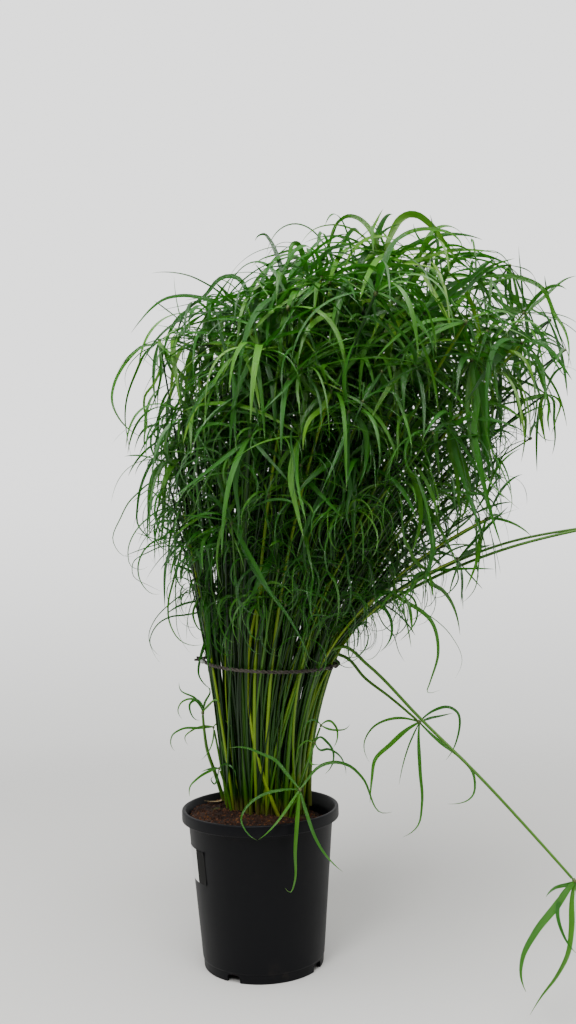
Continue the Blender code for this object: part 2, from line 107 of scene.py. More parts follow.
class Finish:
    """A material and the nodes that it is made of."""

    def __init__(self, name, kept_in="materials"):
        self.owner = getattr(bpy.data, kept_in).new(name)
        self.owner.use_nodes = True
        self.tree = self.owner.node_tree
        self.tree.nodes.clear()

    def add(self, kind, settings=None, sockets=None, output=0):
        node = self.tree.nodes.new(kind)
        for name, setting in (settings or {}).items():
            if name == "stops":
                ramp = node.color_ramp
                while len(ramp.elements) < len(setting):
                    ramp.elements.new(1.0)
                for element, (place, colour) in zip(ramp.elements, setting):
                    element.position, element.color = place, colour
            else:
                setattr(node, name, setting)
        for name, given in (sockets or {}).items():
            if isinstance(given, Value):
                self.tree.links.new(given.socket, node.inputs[name])
            else:
                node.inputs[name].default_value = given
        return Value(self, node.outputs[output])

    def place(self):
        return self.add("ShaderNodeTexCoord", output="Object")

    def attribute(self, name):
        return self.add("ShaderNodeAttribute", {"attribute_name": name}, output="Fac")

    def grain(self, scale, detail=3.0, roughness=0.55, stretch=None):
        where = self.place()
        if stretch:
            where = self.add("ShaderNodeMapping", {}, {"Vector": where, "Scale": stretch})
        sockets = {"Vector": where, "Scale": scale, "Detail": detail, "Roughness": roughness}
        return self.add("ShaderNodeTexNoise", {}, sockets)

    def ramp(self, value, stops):
        return self.add("ShaderNodeValToRGB", {"stops": stops}, {"Fac": value})

    def between(self, share, first, second):
        settings = {"data_type": "RGBA", "clamp_factor": True}
        return self.add("ShaderNodeMix", settings, {0: share, 6: first, 7: second}, output=2)

    def eased(self, value, low, high):
        settings = {"interpolation_type": "SMOOTHSTEP"}
        return self.add("ShaderNodeMapRange", settings, {"Value": value, "From Min": low, "From Max": high})

    def bump(self, height, distance, strength=1.0):
        return self.add("ShaderNodeBump", {}, {"Height": height, "Distance": distance, "Strength": strength})

    def surface(self, **sockets):
        titles = {name: name.replace("_", " ").title().replace("Ior", "IOR") for name in sockets}
        return self.add("ShaderNodeBsdfPrincipled", {}, {titles[name]: sockets[name] for name in sockets})

    def show(self, shader, kind="ShaderNodeOutputMaterial"):
        self.tree.links.new(shader.socket, self.tree.nodes.new(kind).inputs["Surface"])
        return self.owner


def object_of(name, bm, *materials):
    mesh = bpy.data.meshes.new(name)
    bm.to_mesh(mesh)
    bm.free()
    for material in materials:
        mesh.materials.append(material)
    made = bpy.data.objects.new(name, mesh)
    bpy.context.scene.collection.objects.link(made)
    return made


def finish_of_floor():
    floor = Finish("pale floor")
    away = floor.add("ShaderNodeVectorMath", {"operation": "LENGTH"}, {0: floor.place()}, output="Value")
    solid = floor.surface(base_color=FLOOR_GREY, roughness=0.9, specular_ior_level=0.1)
    clear = floor.add("ShaderNodeBsdfTransparent")
    share = floor.eased(away, FLOOR_CLEAR_FROM, FLOOR_CLEAR_TO)
    return floor.show(floor.add("ShaderNodeMixShader", {}, {0: share, 1: solid, 2: clear}))


bm = bmesh.new()
bmesh.ops.create_circle(bm, cap_ends=True, segments=96, radius=FLOOR_CLEAR_TO)
floor = object_of("floor", bm, finish_of_floor())


def finish_of_room():
    """A room whose walls shine on the object from above, behind and the sides, with a dim front."""
    room = Finish("pale room", "worlds")
    way = room.add("ShaderNodeTexCoord", output="Generated")
    towards_front = 0.0 - room.add("ShaderNodeSeparateXYZ", {}, {"Vector": way}, output="Y")
    upward = room.add("ShaderNodeSeparateXYZ", {}, {"Vector": way}, output="Z")
    dim = room.eased(towards_front, -0.10, 0.75) * (1.0 - room.eased(upward, 0.25, 0.85))
    shine = room.between(dim, ROOM_BRIGHT, ROOM_DIM)
    # The camera sees a backdrop of its own, painted darker towards the bottom as painted shade on the wall.
    # That backdrop lights nothing.
    seen = room.between(room.eased(upward, -0.24, 0.10), BACKDROP_LOW, BACKDROP_HIGH)
    lit = room.add("ShaderNodeBackground", {}, {"Color": shine, "Strength": ROOM_STRENGTH})
    shown = room.add("ShaderNodeBackground", {}, {"Color": seen, "Strength": BACKDROP_STRENGTH})
    looking = room.add("ShaderNodeLightPath", output="Is Camera Ray")
    both = room.add("ShaderNodeMixShader", {}, {0: looking, 1: lit, 2: shown})
    return room.show(both, "ShaderNodeOutputWorld")


bpy.context.scene.world = finish_of_room()

LAMPS = {
    "top lamp": ((0.1, -0.8, 2.5), (0.05, 0.0, 0.5), 1.4, 74.0),
    "front lamp": ((-0.9, -2.2, 2.3), (0.05, 0.0, 0.6), 0.9, 40.0),
}
for name, (place, aim, size, power) in LAMPS.items():
    lamp_data = bpy.data.lights.new(name, "AREA")
    lamp_data.size = size
    lamp_data.energy = power
    lamp = bpy.data.objects.new(name, lamp_data)
    lamp.location = place
    lamp.rotation_euler = (Vector(aim) - Vector(place)).to_track_quat("-Z", "Y").to_euler()
    bpy.context.scene.collection.objects.link(lamp)


# The pot: one shell of black polypropylene, moulded with a rolled lip, a smooth tapering wall and a
# foot ring with four drain notches. The plastic is satin, with faint scuffs and a dusting of peat.
POT_HEIGHT = 0.205
RIM_RADIUS = 0.105
LIP_HEIGHT = 0.015
LIP_OVERHANG = 0.0085
BASE_RADIUS = 0.080
WALL = 0.0022
PAD_RADIUS = 0.055
FOOT_WIDTH = 0.005
CHANNEL_HEIGHT = 0.006
POT_STEPS = 128
NOTCH_ANGLES = (-118, -28, 62, 152)
NOTCH_WIDTH = 0.019
NOTCH_HEIGHT = 0.010
NOTCH_STEPS = 8
NOTCH_SQUARE = 0.45
CUT_DEPTH = 0.013
CUT_PAST = 0.002


def outer_wall(z):
    top = POT_HEIGHT - LIP_HEIGHT
    return BASE_RADIUS + (RIM_RADIUS - LIP_OVERHANG - BASE_RADIUS) * z / top


def inner_wall(z):
    return outer_wall(z) - WALL


def rounded(corners, steps=4):
    """The (radius, z) corners as points, with each corner that has a third number rounded to it."""
    made = []
    for k, (radius, z, *rounding) in enumerate(corners):
        here = Vector((radius, z))
        if not rounding:
            made.append(here)
            continue
        before, after = Vector(corners[k - 1][:2]), Vector(corners[k + 1][:2])
        start = here + (before - here).normalized() * rounding[0]
        end = here + (after - here).normalized() * rounding[0]
        for step in range(steps + 1):
            t = step / steps
            made.append(start * (1 - t) ** 2 + here * 2 * t * (1 - t) + end * t**2)
    return made


def finish_of_pot():
    pot = Finish("black moulded plastic")
    cloud = pot.grain(9.0, 4.0)
    scuff = pot.grain(60.0, 5.0, 0.7, (1.0, 1.0, 0.18))
    speck = pot.grain(900.0, 2.0)
    dust = pot.eased(pot.grain(34.0, 5.0, 0.65), 0.56, 0.80)
    height = pot.add("ShaderNodeSeparateXYZ", {}, {"Vector": pot.place()}, output="Z")
    near_rim = pot.eased(height, 0.165, 0.207)
    near_foot = 1.0 - pot.eased(height, 0.0, 0.030)
    dusty = dust * (near_rim * 0.12 + near_foot * 0.25 + 0.04)
    black = pot.between(cloud, (0.0016, 0.0018, 0.0026, 1.0), (0.0038, 0.0040, 0.0054, 1.0))
    colour = pot.between(dusty, black, (0.060, 0.045, 0.032, 1.0))
    rough = 0.36 + 0.14 * scuff + 0.10 * cloud + 0.35 * dusty
    relief = pot.bump(scuff * 0.35 + speck * 0.12, 0.0006, 0.35)
    return pot.show(pot.surface(base_color=colour, roughness=rough, specular_ior_level=0.12, normal=relief))


def pot_shell():
    floor_top = CHANNEL_HEIGHT + WALL
    lip_low = POT_HEIGHT - LIP_HEIGHT
    channel_in = PAD_RADIUS + WALL
    foot_in = BASE_RADIUS - FOOT_WIDTH
    lip_in = RIM_RADIUS - 0.0045
    corners = (
        (0.0, WALL), (PAD_RADIUS - WALL, WALL, 0.0008), (PAD_RADIUS, floor_top, 0.0008),
        (inner_wall(floor_top), floor_top, 0.002), (inner_wall(0.10), 0.10),
        (inner_wall(lip_low), lip_low, 0.002), (lip_in, POT_HEIGHT, 0.0018),
        (RIM_RADIUS, POT_HEIGHT, 0.0024), (RIM_RADIUS, lip_low + 0.0008, 0.0016),
        (outer_wall(lip_low) + 0.0006, lip_low + 0.0004, 0.0008),
        (outer_wall(lip_low - 0.004), lip_low - 0.004, 0.001), (outer_wall(0.10), 0.10),
        (outer_wall(0.013), 0.013, 0.0008), (outer_wall(0.012) - 0.0008, 0.012, 0.0006),
        (BASE_RADIUS - 0.0006, 0.0, 0.0012), (foot_in, 0.0, 0.0006), (foot_in, CHANNEL_HEIGHT, 0.0006),
        (channel_in, CHANNEL_HEIGHT, 0.0006), (PAD_RADIUS, 0.0, 0.0006), (0.0, 0.0),
    )
    bm = bmesh.new()
    line = [bm.verts.new((point.x, 0.0, point.y)) for point in rounded(corners)]
    edges = [bm.edges.new(pair) for pair in zip(line, line[1:])]
    bmesh.ops.spin(bm, geom=line + edges, axis=(0, 0, 1), steps=POT_STEPS, angle=2 * math.pi, use_merge=True)
    bmesh.ops.remove_doubles(bm, verts=bm.verts[:], dist=1e-5)
    bmesh.ops.recalc_face_normals(bm, faces=bm.faces[:])
    return bm


def notch_cutters():
    bm = bmesh.new()
    for angle in NOTCH_ANGLES:
        outline = []
        for k in range(NOTCH_STEPS + 1):
            bend = math.pi * k / NOTCH_STEPS
            side = math.copysign(abs(math.cos(bend)) ** NOTCH_SQUARE, math.cos(bend)) * NOTCH_WIDTH / 2
            low = not 0 < k < NOTCH_STEPS
            outline.append((side, -CUT_PAST if low else math.sin(bend) ** NOTCH_SQUARE * NOTCH_HEIGHT))
        turn = Matrix.Rotation(math.radians(angle), 4, "Z")
        sides = [
            [bm.verts.new(turn @ Vector((BASE_RADIUS + out, across, z))) for across, z in outline]
            for out in (-CUT_DEPTH, CUT_DEPTH)
        ]
        bm.faces.new(sides[0])
        bm.faces.new(sides[1][::-1])
        for k in range(len(outline)):
            after = (k + 1) % len(outline)
            bm.faces.new((sides[0][k], sides[1][k], sides[1][after], sides[0][after]))
    bmesh.ops.recalc_face_normals(bm, faces=bm.faces[:])
    return bm


def settled(made):
    """The object's mesh as its modifiers leave it, with no modifier left."""
    graph = bpy.context.evaluated_depsgraph_get()
    mesh = bpy.data.meshes.new_from_object(made.evaluated_get(graph))
    made.modifiers.clear()
    old, made.data = made.data, mesh
    bpy.data.meshes.remove(old)
    return made


pot = object_of("nursery_pot", pot_shell(), finish_of_pot())
cutter = object_of("notch_cutter", notch_cutters())
cut = pot.modifiers.new("notches", "BOOLEAN")
cut.object = cutter
cut.solver = "EXACT"
settled(pot)
bpy.data.objects.remove(cutter)
pot.data.shade_smooth()
pot.data.set_sharp_from_angle(angle=math.radians(40))
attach(pot, "root")
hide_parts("pot")


# The sticker: a blank white paper label with one dark band, wrapped round the pot's left side.
# Its corners lift a little.
STICKER_FROM, STICKER_TO = 150.0, 220.0
STICKER_LOW, STICKER_HIGH = 0.118, 0.161
STICKER_THICKNESS = 0.00035
STICKER_GAP = 0.00015
CORNER_LIFT = 0.06
BAND_FROM = 207.5


def finish_of_sticker():
    paper = Finish("label paper")
    along = paper.attribute("along")
    fibre = paper.grain(420.0, 4.0)
    cloud = paper.grain(38.0, 3.0)
    white = paper.between(cloud * 0.5 + fibre * 0.3, (0.80, 0.80, 0.79, 1.0), (0.62, 0.62, 0.60, 1.0))
    band = along.above((BAND_FROM - STICKER_FROM) / (STICKER_TO - STICKER_FROM))
    colour = paper.between(band, white, (0.0035, 0.0035, 0.0030, 1.0))
    relief = paper.bump(fibre, 0.0002, 0.4)
    rough = 0.42 + 0.15 * cloud + 0.35 * band
    body = paper.surface(base_color=colour, roughness=rough, specular_ior_level=0.25, normal=relief)
    return paper.show(body)


def sticker_mesh():
    bm = bmesh.new()
    share = bm.verts.layers.float.new("along")
    steps, rows = 56, 10
    skins = []
    for lift in (0.0, STICKER_THICKNESS):
        skins.append([])
        for row in range(rows + 1):
            up = row / rows
            z = STICKER_LOW + (STICKER_HIGH - STICKER_LOW) * up
            skins[-1].append([])
            for step in range(steps + 1):
                across = step / steps
                corner = max(0.0, abs(2 * across - 1) - 0.93) * max(0.0, abs(2 * up - 1) - 0.7)
                turn = math.radians(STICKER_FROM + (STICKER_TO - STICKER_FROM) * across)
                radius = outer_wall(z) + STICKER_GAP + lift + corner * CORNER_LIFT
                vert = bm.verts.new((radius * math.cos(turn), radius * math.sin(turn), z))
                vert[share] = across
                skins[-1][-1].append(vert)
    back, front = skins
    for row in range(rows):
        for step in range(steps):
            for skin in skins:
                face = [skin[row][step], skin[row][step + 1], skin[row + 1][step + 1], skin[row + 1][step]]
                bm.faces.new(face if skin is front else face[::-1])
    rim = [(0, s) for s in range(steps)] + [(r, steps) for r in range(rows)]
    rim += [(rows, s) for s in range(steps, 0, -1)] + [(r, 0) for r in range(rows, 0, -1)]
    for (r1, s1), (r2, s2) in zip(rim, rim[1:] + rim[:1]):
        bm.faces.new((back[r1][s1], back[r2][s2], front[r2][s2], front[r1][s1]))
    bmesh.ops.recalc_face_normals(bm, faces=bm.faces[:])
    return bm


sticker = object_of("pot_sticker", sticker_mesh(), finish_of_sticker())
sticker.data.shade_smooth()
sticker.data.set_sharp_from_angle(angle=math.radians(40))
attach(sticker, "root")
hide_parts("pot_label")


# The peat: a brown, crumbly mix of peat and coir that fills the pot, mounded round the clump and
# lower at the right and the back, with loose crumbs and a little moss on it.
SOIL_LEVEL = 0.190
FALL_TO_RIGHT, FALL_TO_BACK = 0.115, 0.03
MOUND_HEIGHT = 0.010
MOUND_HALF_X, MOUND_HALF_Y = 0.060, 0.055
CLUMP_CENTRE = Vector((0.008, 0.030, 0.0))
CLUMP_HALF = Vector((0.056, 0.045, 0.0))
CRUMBS_PER_M2 = 52000.0
CRUMB_SIZE = 0.0042
CRUMB_SEED = 4
PEAT_LUMPS = ((0.0022, 110), (0.0016, 260), (0.0010, 560))
PEAT_RINGS, PEAT_SIDES = 46, 150
PEAT_GAP = 0.0006


def soil_height(x, y):
    away = ((x - CLUMP_CENTRE.x) / MOUND_HALF_X) ** 2 + ((y - CLUMP_CENTRE.y) / MOUND_HALF_Y) ** 2
    mound = MOUND_HEIGHT * math.exp(-away)
    lumps = 0.0012 * math.sin(95 * x + 1.0) * math.cos(88 * y) + 0.0008 * math.sin(160 * y - 70 * x)
    return SOIL_LEVEL - FALL_TO_RIGHT * x - FALL_TO_BACK * y + mound + lumps


def peat_surface(x, y):
    """The peat's height with the roughness of its lumps on it."""
    lumps = (
        height * noise.noise(Vector((x, y, layer)) * scale)
        for layer, (height, scale) in enumerate(PEAT_LUMPS)
    )
    return soil_height(x, y) + sum(lumps)


def finish_of_peat():
    peat = Finish("peat")
    lump = peat.grain(120.0, 6.0, 0.7)
    patch = peat.grain(26.0, 4.0, 0.6)
    fine = peat.grain(700.0, 4.0, 0.6)
    tint = peat.attribute("tint")
    share = lump * 0.50 + patch * 0.55 + tint * 0.30 - 0.20
    colour = peat.ramp(share, (
        (0.24, (0.008, 0.004, 0.003, 1.0)), (0.44, (0.030, 0.012, 0.006, 1.0)),
        (0.58, (0.075, 0.026, 0.010, 1.0)), (0.74, (0.160, 0.070, 0.018, 1.0)),
        (0.94, (0.380, 0.220, 0.060, 1.0)),
    ))
    moss = peat.eased(peat.grain(46.0, 5.0, 0.7), 0.60, 0.70)
    colour = peat.between(moss * 0.6, colour, (0.060, 0.072, 0.014, 1.0))
    relief = peat.bump(lump * 0.8 + fine * 0.4, 0.0018, 0.8)
    return peat.show(peat.surface(base_color=colour, roughness=0.94, specular_ior_level=0.2, normal=relief))


def peat_bed():
    rings, sides = PEAT_RINGS, PEAT_SIDES
    floor = CHANNEL_HEIGHT + WALL + 0.0003
    bm = bmesh.new()
    middle = bm.verts.new((0.0, 0.0, peat_surface(0.0, 0.0)))
    made = []
    for ring in range(1, rings + 1):
        radius = (inner_wall(SOIL_LEVEL - 0.004) - PEAT_GAP) * ring / rings
        made.append([])
        for side in range(sides):
            turn = 2 * math.pi * side / sides
            x, y = radius * math.cos(turn), radius * math.sin(turn)
            fall = 0.004 * max(0.0, ring / rings - 0.93) / 0.07
            made[-1].append(bm.verts.new((x, y, peat_surface(x, y) - fall)))
    made.append([])
    for side in range(sides):
        turn = 2 * math.pi * side / sides
        radius = inner_wall(floor) - PEAT_GAP
        made[-1].append(bm.verts.new((radius * math.cos(turn), radius * math.sin(turn), floor)))
    low = bm.verts.new((0.0, 0.0, floor))
    for side in range(sides):
        after = (side + 1) % sides
        bm.faces.new((middle, made[0][side], made[0][after]))
        bm.faces.new((low, made[-1][after], made[-1][side]))
        for inner, outer in zip(made, made[1:]):
            bm.faces.new((inner[side], outer[side], outer[after], inner[after]))
    bmesh.ops.recalc_face_normals(bm, faces=bm.faces[:])
    return bm


class Maker:
    """A Geometry Nodes tree as it is put together."""

    def __init__(self, name, inputs):
        self.tree = bpy.data.node_groups.new(name, "GeometryNodeTree")
        self.tree.interface.new_socket("Geometry", in_out="INPUT", socket_type="NodeSocketGeometry")
        self.named = {}
        for label, kind in inputs.items():
            made = self.tree.interface.new_socket(label, in_out="INPUT", socket_type=f"NodeSocket{kind}")
            self.named[label] = made.identifier
        self.tree.interface.new_socket("Geometry", in_out="OUTPUT", socket_type="NodeSocketGeometry")
        self.given = self.tree.nodes.new("NodeGroupInput")

    def add(self, kind, settings=None, sockets=None, output=0):
        node = self.tree.nodes.new(kind)
        for name, setting in (settings or {}).items():
            setattr(node, name, setting)
        for name, given in (sockets or {}).items():
            if isinstance(given, bpy.types.NodeSocket):
                self.tree.links.new(given, node.inputs[name])
            else:
                node.inputs[name].default_value = given
        return node.outputs[output]

    def sum_of(self, operation, *terms):
        return self.add("ShaderNodeMath", {"operation": operation}, dict(enumerate(terms)))

    def named_value(self, label, kind="FLOAT"):
        return self.add("GeometryNodeInputNamedAttribute", {"data_type": kind}, {"Name": label})

    def swept(self, section):
        """The section drawn along each line, as wide at each point as the line says."""
        line = self.add("GeometryNodeMeshToCurve", {}, {0: self.given.outputs["Geometry"]})
        line = self.add("GeometryNodeSetCurveNormal", {"mode": "FREE"}, {
            "Curve": line, "Normal": self.named_value("sideways", "FLOAT_VECTOR"),
        })
        solid = self.add("GeometryNodeCurveToMesh", {}, {
            "Curve": line, "Profile Curve": section, "Fill Caps": True, "Scale": self.named_value("width"),
        })
        return self.add("GeometryNodeSetShadeSmooth", {"domain": "FACE"}, {"Geometry": solid})

    def close(self, geometry, material):
        """Ends the tree with its instances made real and its material set."""
        real = self.add("GeometryNodeRealizeInstances", {}, {0: geometry})
        dressed = self.add("GeometryNodeSetMaterial", {}, {"Geometry": real, "Material": material})
        out = self.tree.nodes.new("NodeGroupOutput")
        self.tree.links.new(dressed, out.inputs[0])

    def use_on(self, made, values):
        """Runs the tree on an object and keeps the mesh that comes out."""
        modifier = made.modifiers.new(self.tree.name, "NODES")
        modifier.node_group = self.tree
        for label, value in values.items():
            modifier[self.named[label]] = value
        return settled(made)


def crumb_scatter():
    inputs = {"Density": "Float", "Size": "Float", "Seed": "Int", "Finish": "Material"}
    scatter = Maker("crumbs on the peat", inputs)
    given = scatter.given.outputs
    normal = scatter.add("GeometryNodeInputNormal")
    upward = scatter.add("ShaderNodeSeparateXYZ", {}, {0: normal}, output="Z")
    top = scatter.add("FunctionNodeCompare", {"operation": "GREATER_THAN"}, {0: upward, 1: 0.35})
    points = scatter.add("GeometryNodeDistributePointsOnFaces", {}, {
        "Mesh": given["Geometry"], "Density": given["Density"], "Seed": given["Seed"], "Selection": top,
    })
    crumb = scatter.add("GeometryNodeMeshIcoSphere", {}, {"Radius": 0.5, "Subdivisions": 1})
    jag = scatter.add("ShaderNodeTexNoise", {}, {"Scale": 2.2, "Detail": 3.0}, output="Color")
    jag = scatter.add("ShaderNodeVectorMath", {"operation": "SUBTRACT"}, {0: jag, 1: (0.5, 0.5, 0.5)})
    crumb = scatter.add("GeometryNodeSetPosition", {}, {"Geometry": crumb, "Offset": jag})
    size = scatter.add("FunctionNodeRandomValue", {"data_type": "FLOAT_VECTOR"}, {
        0: (0.25, 0.25, 0.15), 1: (1.3, 1.0, 0.8), "Seed": given["Seed"],
    })
    size = scatter.add("ShaderNodeVectorMath", {"operation": "SCALE"}, {0: size, "Scale": given["Size"]})
    turn = scatter.add("FunctionNodeRandomValue", {"data_type": "FLOAT_VECTOR"}, {
        1: (6.3, 6.3, 6.3), "Seed": 5,
    })
    turn = scatter.add("FunctionNodeEulerToRotation", {}, {0: turn})
    placed = scatter.add("GeometryNodeInstanceOnPoints", {}, {
        "Points": points, "Instance": crumb, "Scale": size, "Rotation": turn,
    })
    tint = scatter.add("FunctionNodeRandomValue", {}, {2: 0.0, 3: 1.0, "Seed": 9}, output=1)
    placed = scatter.add("GeometryNodeStoreNamedAttribute", {"domain": "INSTANCE"}, {
        "Geometry": placed, "Name": "tint", "Value": tint,
    })
    scatter.close(placed, given["Finish"])
    return scatter


peat_finish = finish_of_peat()
bed = object_of("peat_bed", peat_bed(), peat_finish)
bed.data.shade_smooth()
crumbs = bpy.data.objects.new("peat_crumbs", bed.data.copy())
bpy.context.scene.collection.objects.link(crumbs)
crumb_scatter().use_on(crumbs, {
    "Density": CRUMBS_PER_M2, "Size": CRUMB_SIZE, "Seed": CRUMB_SEED, "Finish": peat_finish,
})
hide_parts("soil")
for piece in (bed, crumbs):
    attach(piece, "root")


# The crown's stems: solid, three-sided and rounded, each grown from the crown of roots in one piece
# with its umbrella. They stand in a dense clump, pass the tie in the same order and fan out above it.
TIE_CENTRE = Vector((0.0185, 0.010, 0.397))
TIE_SLOPE = Vector((-0.048, 0.075, 0.0))
TIE_HALF = Vector((0.0905, 0.0805, 0.0))
WAIST_SHARE = 0.905
CROWN_CENTRE = Vector((0.142, -0.005, 0.930))
CROWN_HALF = Vector((0.262, 0.235, 0.0))
CROWN_DROP = 0.105
CROWN_SHOOTS = 110
SOLID_FIRST = 1
SOLID_EVERY = 5
SHORTEST = 0.30
GOLDEN_ANGLE = math.radians(137.508)
STEM_FOOT_RADIUS = 0.0034
STEM_END_RADIUS = 0.0021
STEM_SLIM = 0.82
STEM_STEPS = 12
STEM_SIDES = 9
STEM_BULGE = 0.12
CROWN_NARROWED = 0.90
ANGLE_SPREADS = (0.40, 0.18, 0.20)
RANK_SPREADS = (0.10, 0.05, 0.08)
# Stems whose foot lies right of this x get a lighter tint as painted light, and the others a darker one as
# painted shade.
PAINTED_LIGHT_FROM_X = 0.002
PAINTED_LIGHT_SHARE = 0.09
UP = Vector((0.0, 0.0, 1.0))


def spans_of(points):
    """Each span's length, ends and end tangents, on the smooth curve through the given points."""
    points = [Vector(point) for point in points]
    spans = [(after - before).length for before, after in zip(points, points[1:])]
    slopes = [(after - before) / span for before, after, span in zip(points, points[1:], spans)]
    tangents = [slopes[0]] * len(points)
    for k in range(1, len(slopes)):
        before, after = spans[k - 1], spans[k]
        tangents[k] = (slopes[k - 1] * after + slopes[k] * before) / (before + after)
    if len(slopes) > 1:
        tangents[0] = 2 * slopes[0] - tangents[1]
    tangents[-1] = 2 * slopes[-1] - tangents[-2] if len(slopes) > 1 else slopes[-1]
    return list(zip(spans, points, points[1:], tangents, tangents[1:]))


def point_in(span, t):
    length, start, end, leaving, arriving = span
    return (
        start * (2 * t**3 - 3 * t**2 + 1) + leaving * (t**3 - 2 * t**2 + t) * length
        + end * (3 * t**2 - 2 * t**3) + arriving * (t**3 - t**2) * length
    )


def points_along(points, steps):
    """The curve's points, the same number of steps in each span."""
    spans = spans_of(points)
    return [point_in(span, k / steps) for span in spans for k in range(steps)] + [Vector(points[-1])]


def curve_through(points, count):
    """Count points spread evenly along the curve."""
    spans = spans_of(points)
    whole, made = sum(span[0] for span in spans), []
    for number in range(count):
        along, k = whole * number / (count - 1), 0
        while k < len(spans) - 1 and along > spans[k][0]:
            along -= spans[k][0]
            k += 1
        made.append(point_in(spans[k], min(along / spans[k][0], 1.0)))
    return made


def stem_through(angles, ranks, share):
    """Foot, waist at the tie and end of a stem, from its place in the clump at each of the three."""
    foot, waist, top = (
        Vector((math.cos(angle), math.sin(angle), 0.0)) * rank for angle, rank in zip(angles, ranks)
    )
    foot = CLUMP_CENTRE + foot * CLUMP_HALF
    foot.z = soil_height(foot.x, foot.y)
    waist = waist * TIE_HALF * WAIST_SHARE
    waist = TIE_CENTRE + waist + UP * TIE_SLOPE.dot(waist)
    top = CROWN_CENTRE + top * CROWN_HALF - UP * CROWN_DROP * ranks[2] ** 2
    return foot, waist, waist.lerp(top, share)


def crown_path(number):
    """One crown stem, counted from the middle outwards. Each fifth is a solid and keeps to the rule."""
    chance = random.Random(number)
    rank = math.sqrt((number + 0.5) / CROWN_SHOOTS)
    angle = GOLDEN_ANGLE * number
    share = 1.0 - (1.0 - SHORTEST) * rank**1.5 * chance.random() ** 1.6
    if number % SOLID_EVERY == SOLID_FIRST:
        return stem_through((angle,) * 3, (rank,) * 3, share)
    angles = [angle + chance.gauss(0.0, spread) for spread in ANGLE_SPREADS]
    ranks = [min(1.0, abs(rank + chance.gauss(0.0, spread))) for spread in RANK_SPREADS]
    ranks[2] *= CROWN_NARROWED
    return stem_through(angles, ranks, share * chance.uniform(0.86, 1.0))


def finish_of_stems():
    stem = Finish("living stem")
    tint, along = stem.attribute("tint"), stem.attribute("along")
    streak = stem.grain(300.0, 4.0, 0.6, (1.0, 1.0, 0.05))
    patch = stem.grain(16.0, 3.0)
    # The tint holds each stem's own random tone together with its painted light and shade from its side of
    # the clump.
    share = tint * 0.85 + patch * 0.26 + streak * 0.16 - 0.12
    green = stem.ramp(share, (
        (0.05, (0.002, 0.014, 0.001, 1.0)), (0.35, (0.010, 0.058, 0.001, 1.0)),
        (0.65, (0.050, 0.160, 0.002, 1.0)), (0.95, (0.220, 0.350, 0.010, 1.0)),
    ))
    foot = 1.0 - stem.eased(along, 0.0, 0.07)
    colour = stem.between(foot * 0.60, green, (0.110, 0.070, 0.020, 1.0))
    relief = stem.bump(streak, 0.0005, 0.5)
    rough = 0.36 + 0.14 * streak
    body = stem.surface(base_color=colour, roughness=rough, specular_ior_level=0.32, normal=relief)
    return stem.show(body)


def line_object(name, lines):
    """An object of lines, each given as points, sideways directions, widths and one tint."""
    places, sides, widths, tints, alongs, edges = [], [], [], [], [], []
    for points, side, width, tint in lines:
        first = len(places)
        places += points
        sides += side
        widths += width
        tints += [tint] * len(points)
        alongs += [k / (len(points) - 1) for k in range(len(points))]
        edges += [(first + k, first + k + 1) for k in range(len(points) - 1)]
    mesh = bpy.data.meshes.new(name)
    mesh.from_pydata(places, edges, [])
    for label, kind, values in (
        ("sideways", "FLOAT_VECTOR", sides), ("width", "FLOAT", widths),
        ("tint", "FLOAT", tints), ("along", "FLOAT", alongs),
    ):
        layer = mesh.attributes.new(label, kind, "POINT")
        field = "vector" if kind == "FLOAT_VECTOR" else "value"
        layer.data.foreach_set(field, np.array(values, np.float32).ravel())
    made = bpy.data.objects.new(name, mesh)
    bpy.context.scene.collection.objects.link(made)
    return made


def round_sweep(name, sides):
    """A tree that draws a round section with three soft corners along each line."""
    sweep = Maker(name, {"Bulge": "Float", "Finish": "Material"})
    given = sweep.given.outputs
    section = sweep.add("GeometryNodeCurvePrimitiveCircle", {}, {"Resolution": sides, "Radius": 1.0})
    place = sweep.add("GeometryNodeInputPosition")
    part = sweep.add("ShaderNodeSeparateXYZ", {}, {0: place}, output="X")
    cube = sweep.sum_of("MULTIPLY", sweep.sum_of("POWER", part, 3.0), 4.0)
    wave = sweep.sum_of("SUBTRACT", cube, sweep.sum_of("MULTIPLY", part, 3.0))
    grow = sweep.sum_of("MULTIPLY_ADD", wave, given["Bulge"], 1.0)
    moved = sweep.add("ShaderNodeVectorMath", {"operation": "SCALE"}, {0: place, "Scale": grow})
    section = sweep.add("GeometryNodeSetPosition", {}, {"Geometry": section, "Position": moved})
    sweep.close(sweep.swept(section), given["Finish"])
    return sweep


def ahead_at(points, k):
    """The way that the line goes at a point."""
    return (points[min(k + 1, len(points) - 1)] - points[max(k - 1, 0)]).normalized()


def sideways_along(points, first):
    """A direction across the line at each point, carried along it without turning about it."""
    side, made = first, []
    for k in range(len(points)):
        ahead = ahead_at(points, k)
        side = (side - ahead * side.dot(ahead)).normalized()
        made.append(side.copy())
    return made


